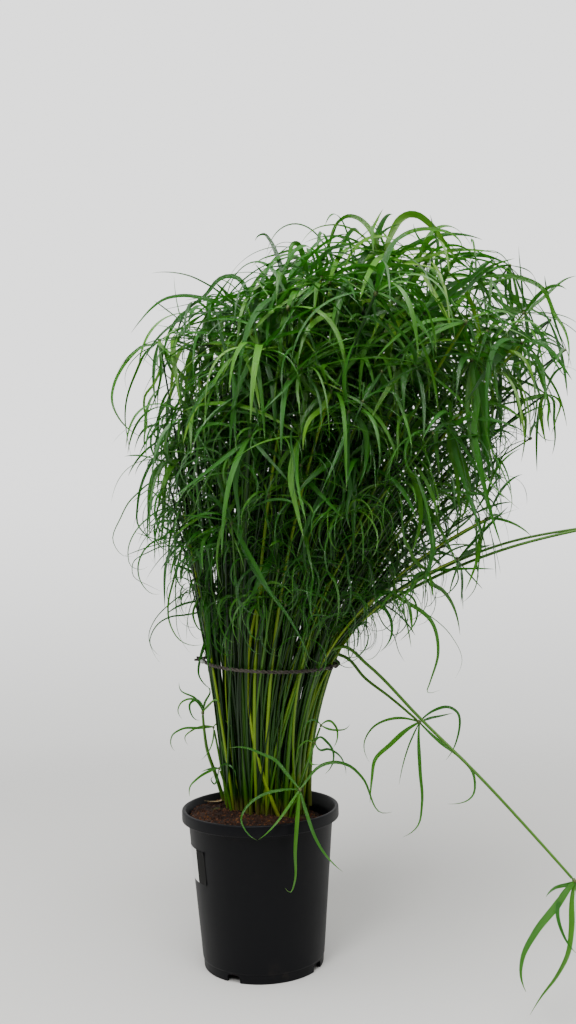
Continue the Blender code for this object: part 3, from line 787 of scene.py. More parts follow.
def stem_line(points, chance, thickness=1.0, tint=None):
    """A stem's line, thinner towards its end, with a lighter green painted on it as painted light where its
    foot stands at the right, and a darker green as painted shade at the left.
    """
    radii = []
    for k in range(len(points)):
        radius = STEM_FOOT_RADIUS + (STEM_END_RADIUS - STEM_FOOT_RADIUS) * (k / (len(points) - 1))
        radii.append(radius * STEM_SLIM * thickness)
    turn = chance.uniform(0.0, 2 * math.pi)
    first = Vector((math.cos(turn), math.sin(turn), 0.0))
    # The tint is raised at the right as painted light and lowered at the left as painted shade.
    shade = chance.random() ** 1.7 + (PAINTED_LIGHT_SHARE if points[0].x > PAINTED_LIGHT_FROM_X else -PAINTED_LIGHT_SHARE)
    shade = min(1.0, max(0.0, shade))
    return points, sideways_along(points, first), radii, shade if tint is None else tint


def dress_stems(name, lines, *nodes):
    piece = line_object(name, lines)
    stem_sweep.use_on(piece, {"Bulge": STEM_BULGE, "Finish": stem_finish})
    if nodes:
        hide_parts(*nodes)
    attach(piece, "root")


stem_sweep = round_sweep("stems along their lines", STEM_SIDES)
stem_finish = finish_of_stems()
lines = []
for number in range(CROWN_SHOOTS):
    chance = random.Random(f"stem {number}")
    thickness = 1.0 if number % SOLID_EVERY == SOLID_FIRST else chance.uniform(0.55, 1.05)
    lines.append(stem_line(points_along(crown_path(number), STEM_STEPS), chance, thickness))
dress_stems("crown_stems", lines, *(f"stem_{k:02d}" for k in range(1, 23)))


# The tie: two plies of dark cord twisted together, once round the clump and drawn tight enough to
# hold it, with a pale bare end at the left and a lump of knotted turns at the right.
TIE_STEPS = 320
TIE_TWISTS = 38
PLY_RADIUS = 0.0014
PLY_OFFSET = 0.0012
TIE_PARTING = math.radians(4)
ENDS_PAST = (0.013, 0.011)
KNOT_ANGLES = (-30.0, -17.0, -7.0)
KNOT_RADIUS = 0.0030
KNOT_CORD_RADIUS = 0.0012
KNOT_TURNS = 1.25
KNOT_STEPS = 18
PALE_FROM, PALE_TO = 178.0, 200.0
PALE_STEPS = 24
PALE_OUT = 0.0042
PALE_UP = 0.001
PALE_TWISTS = 2.5
PALE_OFFSET = 0.0010
PALE_RADIUS = 0.0016


def tie_point(angle, beyond=0.0):
    out = Vector((math.cos(angle), math.sin(angle), 0.0))
    flat = Vector((out.x * TIE_HALF.x, out.y * TIE_HALF.y, 0.0)) + out * beyond
    return TIE_CENTRE + flat + UP * TIE_SLOPE.dot(flat)


def finish_of_tie():
    cord = Finish("twisted cord")
    fibre = cord.grain(1400.0, 3.0)
    patch = cord.grain(40.0, 3.0)
    tint = cord.attribute("tint")
    dark = cord.between(fibre, (0.010, 0.008, 0.006, 1.0), (0.060, 0.046, 0.034, 1.0))
    colour = cord.between(cord.eased(patch, 0.45, 0.75) * 0.5, dark, (0.120, 0.100, 0.080, 1.0))
    colour = cord.between(tint, colour, (0.40, 0.41, 0.39, 1.0))
    relief = cord.bump(fibre, 0.0006, 0.7)
    return cord.show(cord.surface(base_color=colour, roughness=0.62, normal=relief))


def ply_lines(path, twists, offset, radius, tint=0.0, plies=2):
    """The plies of a cord that follows the path."""
    made = []
    sides = sideways_along(path, (path[1] - path[0]).cross(UP).normalized())
    for ply in range(plies):
        points = []
        for k, (place, side) in enumerate(zip(path, sides)):
            turn = 2 * math.pi * (twists * k / (len(path) - 1) + ply / plies)
            across = ahead_at(path, k).cross(side)
            points.append(place + side * math.cos(turn) * offset + across * math.sin(turn) * offset)
        made.append((points, sideways_along(points, sides[0]), [radius] * len(points), tint))
    return made


def knot_turn(angle):
    """One turn of cord wound round the tie's two plies."""
    here, there = tie_point(math.radians(angle)), tie_point(math.radians(angle + 1.0))
    ahead = (there - here).normalized()
    out = ahead.cross(UP).normalized()
    path = []
    for k in range(KNOT_STEPS + 1):
        turn = 2 * math.pi * k / KNOT_STEPS * KNOT_TURNS
        round_it = out * math.cos(turn) + ahead.cross(out) * math.sin(turn)
        path.append(here + ahead * KNOT_RADIUS * k / KNOT_STEPS + round_it * KNOT_RADIUS)
    return (path, sideways_along(path, ahead), [KNOT_CORD_RADIUS] * len(path), 0.0)


def tie_stretch(start, end, steps, beyond=0.0):
    return [tie_point(start + (end - start) * k / steps, beyond) for k in range(steps + 1)]


start, end = math.pi + TIE_PARTING, 3 * math.pi - TIE_PARTING
ring = [tie_point(start, ENDS_PAST[0]), *tie_stretch(start, end, TIE_STEPS), tie_point(end, ENDS_PAST[1])]
cords = ply_lines(ring, TIE_TWISTS, PLY_OFFSET, PLY_RADIUS)
cords += [knot_turn(angle) for angle in KNOT_ANGLES]
pale = tie_stretch(math.radians(PALE_FROM), math.radians(PALE_TO), PALE_STEPS, PALE_OUT)
pale = [place + UP * PALE_UP for place in pale]
cords += ply_lines(pale, PALE_TWISTS, PALE_OFFSET, PALE_RADIUS, tint=1.0)
tie = line_object("twisted_tie", cords)
round_sweep("plies along the tie", 7).use_on(tie, {"Bulge": 0.0, "Finish": finish_of_tie()})
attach(tie, "root")
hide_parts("tie")


# The crown's umbrellas: at each stem's end a whorl of long, narrow leaf-like bracts, folded along the
# middle and round a small knob of flower buds. They leave it nearly level, arch over and hang.
HUB_HEIGHT = 0.0040
GAP = 0.0003
SOLID_BRACTS = 9
BRACT_WIDTH = 0.0085
BRACT_STEPS = 25
TRIES = 60
REDRAWS = 8
LOW_REACH = 0.12
MATCH = 0.0004
CROWN_BRACTS = 13
CROWN_REACH = (0.95, 1.05)
CROWN_BUD = 1.0
CROWN_DEPTH_SHARE = 0.92
HANGING_SHARE = 0.28
CROWN_OUTLINE = (
    (0.385, -0.070, 0.140), (0.412, -0.080, 0.190), (0.439, -0.090, 0.222), (0.466, -0.110, 0.250),
    (0.492, -0.125, 0.285), (0.519, -0.140, 0.300), (0.547, -0.150, 0.325), (0.601, -0.150, 0.345),
    (0.655, -0.145, 0.352), (0.710, -0.135, 0.375), (0.764, -0.130, 0.425), (0.819, -0.125, 0.428),
    (0.847, -0.110, 0.418), (0.874, -0.088, 0.398), (0.902, -0.066, 0.385), (0.929, -0.010, 0.362),
    (0.957, 0.025, 0.337), (0.984, 0.090, 0.280), (1.004, 0.130, 0.240),
)


def inside_crown(point, reach=1.0):
    """True where the point is within the mass of the foliage, as wide as it is at that height."""
    if not CROWN_OUTLINE[0][0] < point.z < CROWN_OUTLINE[-1][0]:
        return False
    for (low, *sides), (high, *next_sides) in zip(CROWN_OUTLINE, CROWN_OUTLINE[1:]):
        if point.z <= high:
            share = (point.z - low) / (high - low)
            left, right = (a + (b - a) * share for a, b in zip(sides, next_sides))
            half = (right - left) / 2 * reach
            across, deep = (point.x - (left + right) / 2) / half, point.y / (half * CROWN_DEPTH_SHARE)
            return across**2 + deep**2 < 1.0
    return False


def finish_of_bracts():
    leaf = Finish("living bract")
    tint, along, across = leaf.attribute("tint"), leaf.attribute("along"), leaf.attribute("across")
    patch = leaf.grain(14.0, 3.0)
    vein = leaf.add("ShaderNodeTexWave", {"wave_type": "BANDS"}, {
        "Vector": leaf.add("ShaderNodeCombineXYZ", {}, {"X": across, "Y": along * 0.4}),
        "Scale": 2.6, "Distortion": 0.4,
    }, output="Fac")
    share = tint * 0.80 + patch * 0.28 - 0.08
    green = leaf.ramp(share, (
        (0.02, (0.006, 0.060, 0.003, 1.0)), (0.35, (0.024, 0.155, 0.007, 1.0)),
        (0.65, (0.090, 0.290, 0.012, 1.0)), (0.95, (0.270, 0.500, 0.030, 1.0)),
    ))
    midrib = 1.0 - leaf.eased(abs(across), 0.0, 0.16)
    colour = leaf.between(midrib * 0.22, green, (0.120, 0.260, 0.060, 1.0))
    tip = leaf.eased(along, 0.90, 1.0)
    colour = leaf.between(tip * 0.5, colour, (0.130, 0.130, 0.030, 1.0))
    relief = leaf.bump(vein, 0.00035, 0.6)
    rough = 0.23 + 0.12 * patch
    body = leaf.surface(base_color=colour, roughness=rough, specular_ior_level=0.70, normal=relief)
    lit = leaf.add("ShaderNodeBsdfTranslucent", {}, {"Color": (0.20, 0.60, 0.008, 1.0), "Normal": relief})
    return leaf.show(leaf.add("ShaderNodeMixShader", {}, {0: 0.38, 1: body, 2: lit}))


def blade_sweep(name, folded=True):
    """A tree that draws a narrow blade with a keel along each line, folded upward or flat on top."""
    sweep = Maker(name, {"Fold": "Float", "Keel": "Float", "Finish": "Material"})
    given = sweep.given.outputs
    section = sweep.add("GeometryNodeCurvePrimitiveQuadrilateral", {"mode": "POINTS"}, {
        "Point 1": sweep.add("ShaderNodeCombineXYZ", {}, {"X": 0.5, "Y": given["Fold"]}),
        "Point 2": (0.0, 0.0, 0.0),
        "Point 3": sweep.add("ShaderNodeCombineXYZ", {}, {"X": -0.5, "Y": given["Fold"]}),
        "Point 4": sweep.add("ShaderNodeCombineXYZ", {}, {"Y": given["Keel"]}),
    })
    if not folded:
        section = sweep.add("GeometryNodeCurvePrimitiveCircle", {}, {"Resolution": 3, "Radius": 1.0})
        section = sweep.add("GeometryNodeTransform", {}, {
            "Geometry": section, "Rotation": (0.0, 0.0, -math.pi / 2), "Scale": (0.07, 3**-0.5, 1.0),
        })
    part = sweep.add("ShaderNodeSeparateXYZ", {}, {0: sweep.add("GeometryNodeInputPosition")}, output="X")
    section = sweep.add("GeometryNodeStoreNamedAttribute", {}, {
        "Geometry": section, "Name": "across", "Value": sweep.sum_of("MULTIPLY", part, 2.0),
    })
    solid = sweep.swept(section)
    edge = sweep.sum_of("ABSOLUTE", sweep.named_value("across"))
    edge = sweep.add("FunctionNodeCompare", {"operation": "GREATER_THAN"}, {0: edge, 1: 0.9})
    solid = sweep.add("GeometryNodeStoreNamedAttribute", {"data_type": "BOOLEAN", "domain": "EDGE"}, {
        "Geometry": solid, "Name": "sharp_edge", "Value": edge,
    })
    sweep.close(solid, given["Finish"])
    return sweep


def end_of(path):
    """The place just past a stem's end, and the way that the stem points there."""
    axis = (path[-1] - path[-2]).normalized()
    return path[-1] + axis * GAP, axis


def way_of(azimuth, rise):
    return Vector((math.cos(azimuth) * math.cos(rise), math.sin(azimuth) * math.cos(rise), math.sin(rise)))


def bract_path(start, axis, azimuth, rise, length, droop, turn):
    """Points along a bract that leaves its hub at an angle, turns a little and sinks under its weight."""
    heading = way_of(azimuth, rise)
    heading.rotate(UP.rotation_difference(axis))
    points = [start]
    for step in range(BRACT_STEPS):
        along = (step + 0.5) / BRACT_STEPS
        heading.rotate(Quaternion((0.0, 0.0, 1.0), turn / BRACT_STEPS))
        heading = (heading - Vector((0.0, 0.0, droop * (0.35 + 1.3 * along) / BRACT_STEPS))).normalized()
        points.append(points[-1] + heading * (length / BRACT_STEPS))
    return points


def blade_widths(count, width):
    """A bract's widths: narrow at the hub, widest a quarter of the way out, then a long point."""
    made = []
    for k in range(count):
        share = k / (count - 1)
        made.append(width * max(0.04, min(1.0, 0.40 + 2.4 * share) * (1.0 - share**2.2) ** 0.8))
    return made


def bract_line(points, axis, width, chance, tint):
    """A bract's line with its flat side along the axis at first, turning a little along its length."""
    sides = sideways_along(points, axis.cross(points[1] - points[0]).normalized())
    turn = chance.uniform(-1.7, 1.7)
    for k, side in enumerate(sides):
        side.rotate(Quaternion(ahead_at(points, k), turn * (k / (len(points) - 1)) ** 1.5))
    return points, sides, blade_widths(len(points), width), min(1.0, max(0.0, tint))


def solid_bracts(name, apex, axis, reach):
    """The bracts of the solid umbrella of that name, found again by the tips of its mesh."""
    corners = np.array([vert.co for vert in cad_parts[f"umbrella_{name}"].data.vertices])
    start = apex + axis * HUB_HEIGHT
    for turn in range(TRIES):
        found = []
        for k in range(SOLID_BRACTS):
            chance = random.Random(f"{name} {turn} {k}")
            azimuth = (turn + GOLDEN_ANGLE * k + chance.uniform(-0.12, 0.12)) % (2 * math.pi)
            for _ in range(TRIES):
                rise = chance.uniform(0.15, 1.15)
                length = reach * chance.uniform(0.110, 0.190)
                droop = chance.uniform(2.2, 4.8)
                twist = chance.uniform(-0.8, 0.8)
                width = BRACT_WIDTH * chance.uniform(0.70, 1.10)
                path = bract_path(start, axis, azimuth, rise, length, droop, twist)
                if np.abs(corners - np.array(path[-1])).max(axis=1).min() < MATCH:
                    found.append((path, width))
                    break
        if len(found) > 3:
            return found
    raise ValueError(f"umbrella_{name}'s bracts are not found")


def grown_bract(apex, axis, azimuth, chance):
    """A broad, springy bract: most go out nearly level in a shallow arch, and some hang."""
    length = chance.uniform(0.10, 0.21) * min(1.0, apex.z + LOW_REACH)
    droop = chance.uniform(1.8, 4.0) if chance.random() < HANGING_SHARE else chance.uniform(0.0, 1.5)
    rise, turn = chance.uniform(-0.55, 1.05), chance.uniform(-1.3, 1.3)
    path = bract_path(apex + axis * HUB_HEIGHT, axis, azimuth, rise, length, droop, turn)
    return path, BRACT_WIDTH * chance.uniform(0.55, 1.15) * (0.75 + 1.9 * length)


def whorl(grow, apex, axis, count, chance, reach=(1.0, 1.0)):
    """Bracts round a hub, each drawn again where it would leave the foliage."""
    first, made = chance.uniform(0.0, 2 * math.pi), []
    for k in range(count):
        edge = chance.uniform(*reach)
        for _ in range(REDRAWS):
            azimuth = first + GOLDEN_ANGLE * k + chance.uniform(-0.3, 0.3)
            path, width = grow(apex, axis, azimuth, chance)
            if all(inside_crown(point, edge) for point in path[2::3] + path[-1:]):
                made.append((path, width))
                break
    return made


def dress_bracts(name, lines, nodes=(), sweep=None):
    leaves = line_object(name, lines)
    (sweep or bract_sweep).use_on(leaves, {"Fold": 0.11, "Keel": -0.06, "Finish": bract_finish})
    if nodes:
        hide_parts(*nodes)
    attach(leaves, "root")


bract_finish = finish_of_bracts()
bract_sweep = blade_sweep("bracts along their lines")
hubs = []
groups = {}
for number in range(CROWN_SHOOTS):
    chance = random.Random(f"umbrella {number}")
    apex, axis = end_of(points_along(crown_path(number), 3))
    hubs.append((apex, axis, CROWN_BUD))
    solid = number % SOLID_EVERY == SOLID_FIRST
    name = f"{number // SOLID_EVERY + 1:02d}"
    bracts = solid_bracts(name, apex, axis, min(1.0, apex.z + LOW_REACH)) if solid else []
    bracts += whorl(grown_bract, apex, axis, CROWN_BRACTS - len(bracts), chance, CROWN_REACH)
    base_tint = chance.uniform(0.15, 0.85)
    part = ("back", "front")[apex.y < 0.0] + ("_left", "_right")[apex.x > 0.13]
    group = groups.setdefault(part, ([], []))
    for path, width in bracts:
        group[0].append(bract_line(path, axis, width, chance, base_tint + chance.uniform(-0.25, 0.25)))
    if solid:
        group[1].append(f"umbrella_{name}")
for part, (lines, nodes) in groups.items():
    dress_bracts(f"crown_bracts_{part}", lines, nodes)


# The young shoots: thinner stems of all heights among the grown ones and round the outside. Their
# small umbrellas stand in the shade, with narrow bracts whose ends curl over, and finer ones outside.
YOUNG_SHOOTS = 250
YOUNG_BRACTS = 14
YOUNG_STEPS = 14
YOUNG_SIDES = 6
YOUNG_SPREADS = (0.35, 0.10, 0.10)
YOUNG_HUB = 0.6
YOUNG_BUD = 0.6
BROAD_WITHIN = 0.78
WIDEST = 1.05


def young_path(number):
    """One of the thin young stems, which end low and mostly stand on the outside."""
    chance = random.Random(f"young {number}")
    angle = GOLDEN_ANGLE * number
    rank = 1.04 - 0.74 * chance.random() ** 1.5
    angles = [angle + chance.gauss(0.0, spread) for spread in YOUNG_SPREADS]
    foot, waist = min(1.0, rank - 0.1 + 0.1 * chance.random()), min(WIDEST, rank + 0.06)
    ranks = (foot, waist, rank + chance.uniform(-0.1, 0.15))
    share = chance.uniform(0.30, 0.85) if rank < BROAD_WITHIN else chance.uniform(0.08, 0.80)
    return stem_through(angles, ranks, share)


def curled_bract(*ranges):
    """A way to grow thin bracts that bend down, from ranges of rise, length, curl, turn and width."""
    def grow(apex, axis, azimuth, chance):
        rise, length, curl, turn, width = (chance.uniform(*ends) for ends in ranges)
        points = [apex + axis * HUB_HEIGHT * YOUNG_HUB]
        for step in range(YOUNG_STEPS):
            along = (step + 0.5) / YOUNG_STEPS
            way = way_of(azimuth + turn * along, rise - curl * along**1.2)
            points.append(points[-1] + way * (length / YOUNG_STEPS))
        return points, width

    return grow


def off_middle(place):
    """Where a place is between the middle of the stems and their outside, at its height."""
    share = (place.z - TIE_CENTRE.z) / (CROWN_CENTRE.z - TIE_CENTRE.z)
    middle, half = TIE_CENTRE.lerp(CROWN_CENTRE, share), TIE_HALF.lerp(CROWN_HALF, share)
    return Vector(((place.x - middle.x) / half.x, (place.y - middle.y) / half.y))


fine_bract = curled_bract((-0.1, 1.2), (0.07, 0.165), (1.0, 4.2), (-1.6, 1.6), (0.0013, 0.0042))
shaded_bract = curled_bract((-0.5, 1.1), (0.07, 0.170), (0.1, 2.0), (-1.2, 1.2), (0.0022, 0.0070))
young_lines = []
groups = {}
for number in range(YOUNG_SHOOTS):
    chance = random.Random(f"young umbrella {number}")
    stem = points_along(young_path(number), 8)
    young_lines.append(stem_line(stem, chance, chance.uniform(0.36, 0.72)))
    apex, axis = end_of(stem)
    hubs.append((apex, axis, YOUNG_BUD))
    grow = shaded_bract if off_middle(apex).length < BROAD_WITHIN else fine_bract
    # The young bracts get darker tints than the grown ones: painted shade for their place deep in the
    # foliage.
    base_tint = chance.uniform(0.05, 0.60)
    part = ("back", "front")[apex.y < 0.0] + ("_left", "_right")[apex.x > 0.07]
    group = groups.setdefault(part, [])
    for path, width in whorl(grow, apex, axis, YOUNG_BRACTS, chance):
        group.append(bract_line(path, axis, width, chance, base_tint + chance.uniform(-0.2, 0.2)))
stem_sweep = round_sweep("thin stems along their lines", YOUNG_SIDES)
thin_sweep = blade_sweep("thin bracts along their lines", False)
dress_stems("young_stems", young_lines)
for part, lines in groups.items():
    dress_bracts(f"young_bracts_{part}", lines, (), thin_sweep)


# The shown shoots: the umbrellas nearest to the photographed side, set where they are seen. Each hub
# has its depth, and each bract its width in metres and the pixels that it passes on its way out. A hub
# with no bracts of its own fills a thin place.
MIDDLE_X, MIDDLE_Y = 288, 512
SHOWN_STEPS = 26
DEPTH_DRIFT = 0.06
SHOWN_WIDER = 1.10
OTHERS_NARROWER = 0.80
SHOWN_BRACTS = 12
FEWEST_OTHERS = 4
FEWEST_BRACTS = 5
READ_REACH = (1.2, 1.2)
FILLING_REACH = (1.0, 1.12)
SHOWN_BUD = 0.9
SHADED_BELOW = 0.70
SHOWN_SHOOTS = {
    "left": (
        (-0.03, (160, 344), (
            (0.0045, (150, 345), (143, 346), (133, 354), (122, 368), (114, 385), (112, 400), (121, 421),
             (144, 438)),
            (0.0038, (152, 347), (146, 352), (136, 372), (126, 402), (125, 420), (127, 436), (132, 460)),
            (0.0015, (152, 346), (138, 355), (127, 369), (125, 377), (128, 392)),
            (0.0055, (160, 352), (161, 370), (159, 385), (155, 398), (149, 412), (147, 420)),
            (0.0040, (162, 350), (154, 384), (145, 396), (144, 405), (147, 425), (144, 438), (148, 460)),
            (0.0060, (164, 350), (171, 362), (182, 376), (193, 392), (200, 402)),
        )),
        (-0.10, (253, 322), (
            (0.0065, (250, 305), (246, 290), (240, 280), (230, 276), (222, 278), (204, 297), (187, 310),
             (176, 338), (171, 357)),
            (0.0055, (240, 314), (225, 305), (210, 300), (178, 296), (165, 299), (152, 308), (141, 320),
             (131, 333)),
            (0.0025, (243, 312), (228, 300), (215, 289), (205, 283), (190, 276), (165, 272), (152, 273)),
        )),
        (-0.06, (222, 343), (
            (0.0055, (217, 335), (212, 320), (206, 308), (203, 303)),
            (0.0060, (212, 352), (203, 366), (199, 384), (202, 402)),
        )),
        (-0.04, (210, 348), (
            (0.0020, (200, 342), (189, 331), (181, 318), (177, 303), (175, 290), (174, 276)),
        )),
        (-0.03, (187, 418), (
            (0.0025, (180, 421), (170, 428), (163, 438), (158, 457), (163, 472)),
        )),
        (-0.03, (188, 448), (
            (0.0042, (176, 446), (164, 450), (154, 459), (146, 473), (138, 502), (139, 527), (147, 536),
             (158, 547)),
            (0.0050, (186, 435), (178, 442), (173, 448), (171, 455)),
        )),
        (-0.02, (183, 478), (
            (0.0060, (170, 475), (166, 480), (164, 500), (163, 522), (160, 548)),
            (0.0022, (165, 481), (150, 483), (139, 492), (129, 502), (121, 517), (113, 541), (124, 556),
             (134, 556)),
            (0.0015, (178, 476), (168, 475), (160, 475), (150, 470)),
        )),
        (-0.02, (185, 501), (
            (0.0024, (172, 506), (158, 511), (147, 519), (138, 528), (128, 553), (131, 566), (144, 569),
             (148, 566)),
            (0.0018, (172, 510), (160, 523), (152, 535)),
        )),
        (-0.02, (186, 541), (
            (0.0026, (172, 538), (160, 539), (150, 544), (138, 567), (140, 580), (153, 594), (160, 594)),
            (0.0018, (175, 545), (160, 547), (151, 551), (133, 563), (133, 575), (150, 586), (163, 592)),
            (0.0030, (180, 556), (175, 575), (168, 608), (169, 620), (181, 641), (190, 645), (204, 644)),
            (0.0016, (181, 552), (177, 570), (176, 610), (178, 632), (191, 654)),
            (0.0020, (180, 530), (170, 533), (160, 537)),
        )),
        (-0.02, (207, 588), (
            (0.0022, (195, 590), (183, 594), (172, 602), (154, 621), (149, 633), (155, 656), (161, 664)),
            (0.0035, (199, 580), (193, 580), (190, 590), (193, 604)),
            (0.0035, (203, 593), (197, 602), (193, 613), (200, 630), (206, 632)),
        )),
        (-0.03, (220, 606), (
            (0.0025, (200, 612), (185, 615), (170, 617), (158, 624), (150, 643), (160, 656)),
            (0.0055, (217, 612), (212, 627), (201, 655), (199, 676), (214, 691)),
        )),
        (0.02, (178, 385), ()),
        (-0.04, (192, 402), ()),
        (0.05, (184, 432), ()),
        (0.02, (176, 462), ()),
        (-0.04, (196, 492), ()),
        (0.03, (182, 522), ()),
        (0.04, (190, 562), ()),
    ),
    "top": (
        (-0.10, (308, 284), (
            (0.0070, (306, 270), (303, 256), (298, 244), (293, 244), (289, 256), (287, 270)),
            (0.0055, (317, 280), (316, 268), (314, 256)),
            (0.0055, (318, 275), (327, 264), (324, 250)),
        )),
        (-0.11, (287, 285), (
            (0.0065, (285, 280), (281, 266), (276, 252), (270, 240), (264, 234), (258, 236), (255, 241)),
        )),
        (-0.06, (307, 257), (
            (0.0065, (300, 262), (285, 266), (273, 277), (267, 292), (264, 340)),
            (0.0030, (292, 250), (278, 254), (262, 259), (252, 266)),
        )),
        (-0.12, (384, 257), (
            (0.0065, (381, 250), (374, 236), (366, 224), (356, 217), (347, 216), (339, 221), (329, 243),
             (328, 250)),
            (0.0050, (375, 244), (372, 232), (377, 220), (383, 209)),
            (0.0095, (386, 248), (392, 232), (400, 219), (409, 214), (418, 215), (428, 222), (445, 243),
             (460, 266)),
            (0.0055, (388, 250), (398, 239), (410, 232), (424, 229), (438, 230), (450, 233), (459, 240),
             (463, 252)),
            (0.0050, (395, 259), (410, 262), (425, 258), (445, 252), (465, 250), (485, 251), (501, 254)),
            (0.0025, (390, 255), (402, 247), (412, 245), (422, 252), (426, 260)),
            (0.0060, (375, 252), (366, 258), (355, 264), (337, 277)),
            (0.0025, (376, 250), (365, 238), (352, 229), (338, 225), (313, 230), (301, 244)),
            (0.0028, (374, 252), (360, 243), (345, 237), (328, 236), (304, 243)),
            (0.0028, (372, 254), (358, 247), (344, 243), (330, 243), (308, 250)),
            (0.0065, (376, 260), (366, 266), (359, 290), (354, 308), (350, 325)),
        )),
        (-0.14, (321, 281), (
            (0.0030, (311, 276), (300, 268), (288, 266), (272, 267), (258, 271)),
            (0.0055, (314, 287), (310, 307), (309, 324), (310, 334)),
            (0.0040, (330, 279), (345, 275), (360, 270)),
        )),
    ),
    "right": (
        (-0.15, (422, 316), (
            (0.0090, (425, 312), (437, 302), (450, 292), (475, 274), (487, 264), (498, 256)),
            (0.0070, (424, 314), (440, 307), (468, 287), (480, 276), (500, 262)),
            (0.0090, (430, 313), (440, 315), (450, 325), (462, 352), (467, 380)),
            (0.0040, (425, 331), (412, 345), (400, 359), (376, 397), (374, 420), (381, 440), (401, 465),
             (406, 440)),
            (0.0055, (370, 318), (363, 325), (358, 342), (355, 360)),
        )),
        (-0.03, (522, 315), (
            (0.0050, (530, 308), (544, 297), (556, 286), (566, 279), (576, 276)),
            (0.0055, (519, 305), (516, 290), (512, 275), (503, 259)),
            (0.0050, (531, 322), (541, 335), (556, 364), (566, 378)),
            (0.0060, (512, 310), (500, 302), (492, 293), (487, 285)),
            (0.0040, (510, 312), (495, 308), (480, 300), (470, 292)),
        )),
        (-0.05, (475, 280), (
            (0.0060, (490, 276), (510, 276), (525, 279), (540, 286), (556, 316), (564, 328), (567, 370)),
        )),
        (-0.08, (520, 345), (
            (0.0060, (530, 341), (540, 343), (552, 352), (562, 365), (572, 380)),
            (0.0055, (525, 352), (535, 357), (542, 370), (545, 385), (545, 402), (540, 416)),
            (0.0035, (521, 353), (524, 365), (526, 380)),
            (0.0035, (510, 344), (500, 340), (488, 338), (476, 342), (468, 352)),
            (0.0050, (511, 349), (495, 355), (480, 359), (472, 362)),
            (0.0015, (513, 352), (505, 360), (497, 370), (490, 380)),
        )),
        (-0.14, (470, 363), (
            (0.0105, (476, 375), (482, 392), (486, 430), (486, 450), (493, 480)),
            (0.0075, (473, 375), (477, 400), (474, 430), (478, 455), (493, 520), (503, 550)),
            (0.0060, (467, 400), (469, 430), (474, 455), (497, 490), (508, 500), (519, 509)),
            (0.0048, (478, 395), (481, 425), (484, 450), (502, 480), (512, 489)),
            (0.0025, (484, 420), (488, 440), (504, 475), (512, 502), (500, 529)),
        )),
        (-0.02, (543, 396), (
            (0.0055, (541, 402), (541, 415), (543, 430), (546, 443)),
            (0.0040, (549, 405), (548, 420), (550, 432)),
            (0.0035, (553, 400), (554, 420), (555, 440), (552, 455)),
            (0.0030, (560, 402), (556, 420), (551, 435)),
            (0.0025, (538, 400), (536, 412), (535, 425), (545, 439), (556, 440)),
            (0.0040, (535, 398), (520, 401), (505, 404), (490, 408)),
            (0.0040, (530, 384), (515, 379), (500, 377)),
            (0.0045, (520, 408), (525, 420), (525, 435), (521, 462)),
        )),
        (0.03, (590, 400), (
            (0.0065, (585, 420), (580, 445), (568, 478), (556, 488), (538, 506)),
            (0.0020, (583, 420), (575, 430), (565, 458), (547, 478)),
        )),
        (0.05, (548, 322), ()),
        (-0.01, (562, 352), ()),
        (0.04, (535, 305), ()),
        (-0.05, (556, 412), ()),
        (0.06, (575, 340), ()),
        (0.02, (528, 440), ()),
        (0.00, (508, 268), ()),
        (0.08, (500, 400), ()),
    ),
    "low": (
        (-0.15, (448, 425), (
            (0.0095, (452, 437), (458, 452), (468, 482), (468, 498), (461, 520)),
            (0.0060, (450, 450), (456, 470), (460, 510), (462, 519)),
            (0.0058, (458, 462), (469, 496), (475, 513), (482, 542)),
            (0.0055, (437, 430), (436, 445), (438, 460), (439, 474)),
            (0.0060, (455, 424), (466, 417), (473, 410)),
        )),
        (-0.15, (404, 458), (
            (0.0070, (407, 466), (414, 479), (421, 512), (419, 530), (411, 553)),
        )),
        (-0.10, (418, 492), (
            (0.0085, (423, 508), (429, 525), (433, 545), (427, 575), (424, 585)),
            (0.0040, (425, 500), (435, 520), (455, 560), (458, 572)),
        )),
        (-0.08, (426, 573), (
            (0.0055, (433, 584), (442, 590), (450, 600), (460, 635)),
            (0.0050, (415, 560), (408, 545), (402, 532)),
            (0.0040, (432, 588), (432, 597)),
            (0.0025, (405, 577), (390, 578), (380, 578)),
        )),
        (-0.08, (392, 592), (
            (0.0055, (400, 599), (410, 604), (431, 621), (438, 652), (430, 682), (427, 692), (440, 690)),
            (0.0014, (410, 606), (425, 613), (452, 637), (462, 661), (455, 678)),
            (0.0028, (400, 592), (411, 596), (417, 617), (411, 629), (399, 641)),
        )),
        (-0.07, (372, 600), (
            (0.0045, (383, 606), (391, 620), (391, 637), (380, 652)),
            (0.0018, (384, 625), (393, 634), (399, 652), (405, 662)),
        )),
        (-0.06, (455, 560), (
            (0.0020, (457, 566), (458, 580), (443, 596), (430, 598)),
        )),
        (-0.06, (484, 520), (
            (0.0048, (480, 540), (477, 560), (472, 575), (465, 591)),
            (0.0022, (481, 545), (479, 562), (473, 592), (460, 604)),
        )),
        (0.03, (476, 452), ()),
        (-0.03, (490, 478), ()),
        (0.06, (462, 488), ()),
        (0.00, (472, 515), ()),
        (0.05, (446, 520), ()),
        (-0.06, (450, 498), ()),
        (0.02, (440, 548), ()),
        (-0.02, (420, 535), ()),
        (0.04, (412, 570), ()),
        (-0.04, (400, 556), ()),
    ),
    "middle": (
        (-0.18, (300, 372), (
            (0.0055, (298, 379), (297, 391), (299, 406), (299, 416)),
            (0.0070, (304, 383), (316, 394), (329, 409), (343, 440), (351, 457)),
            (0.0040, (312, 362), (324, 371), (333, 381), (343, 387)),
        )),
        (-0.18, (330, 395), (
            (0.0060, (316, 401), (306, 414), (301, 431)),
            (0.0060, (321, 409), (310, 419), (303, 451)),
        )),
        (-0.16, (232, 375), (
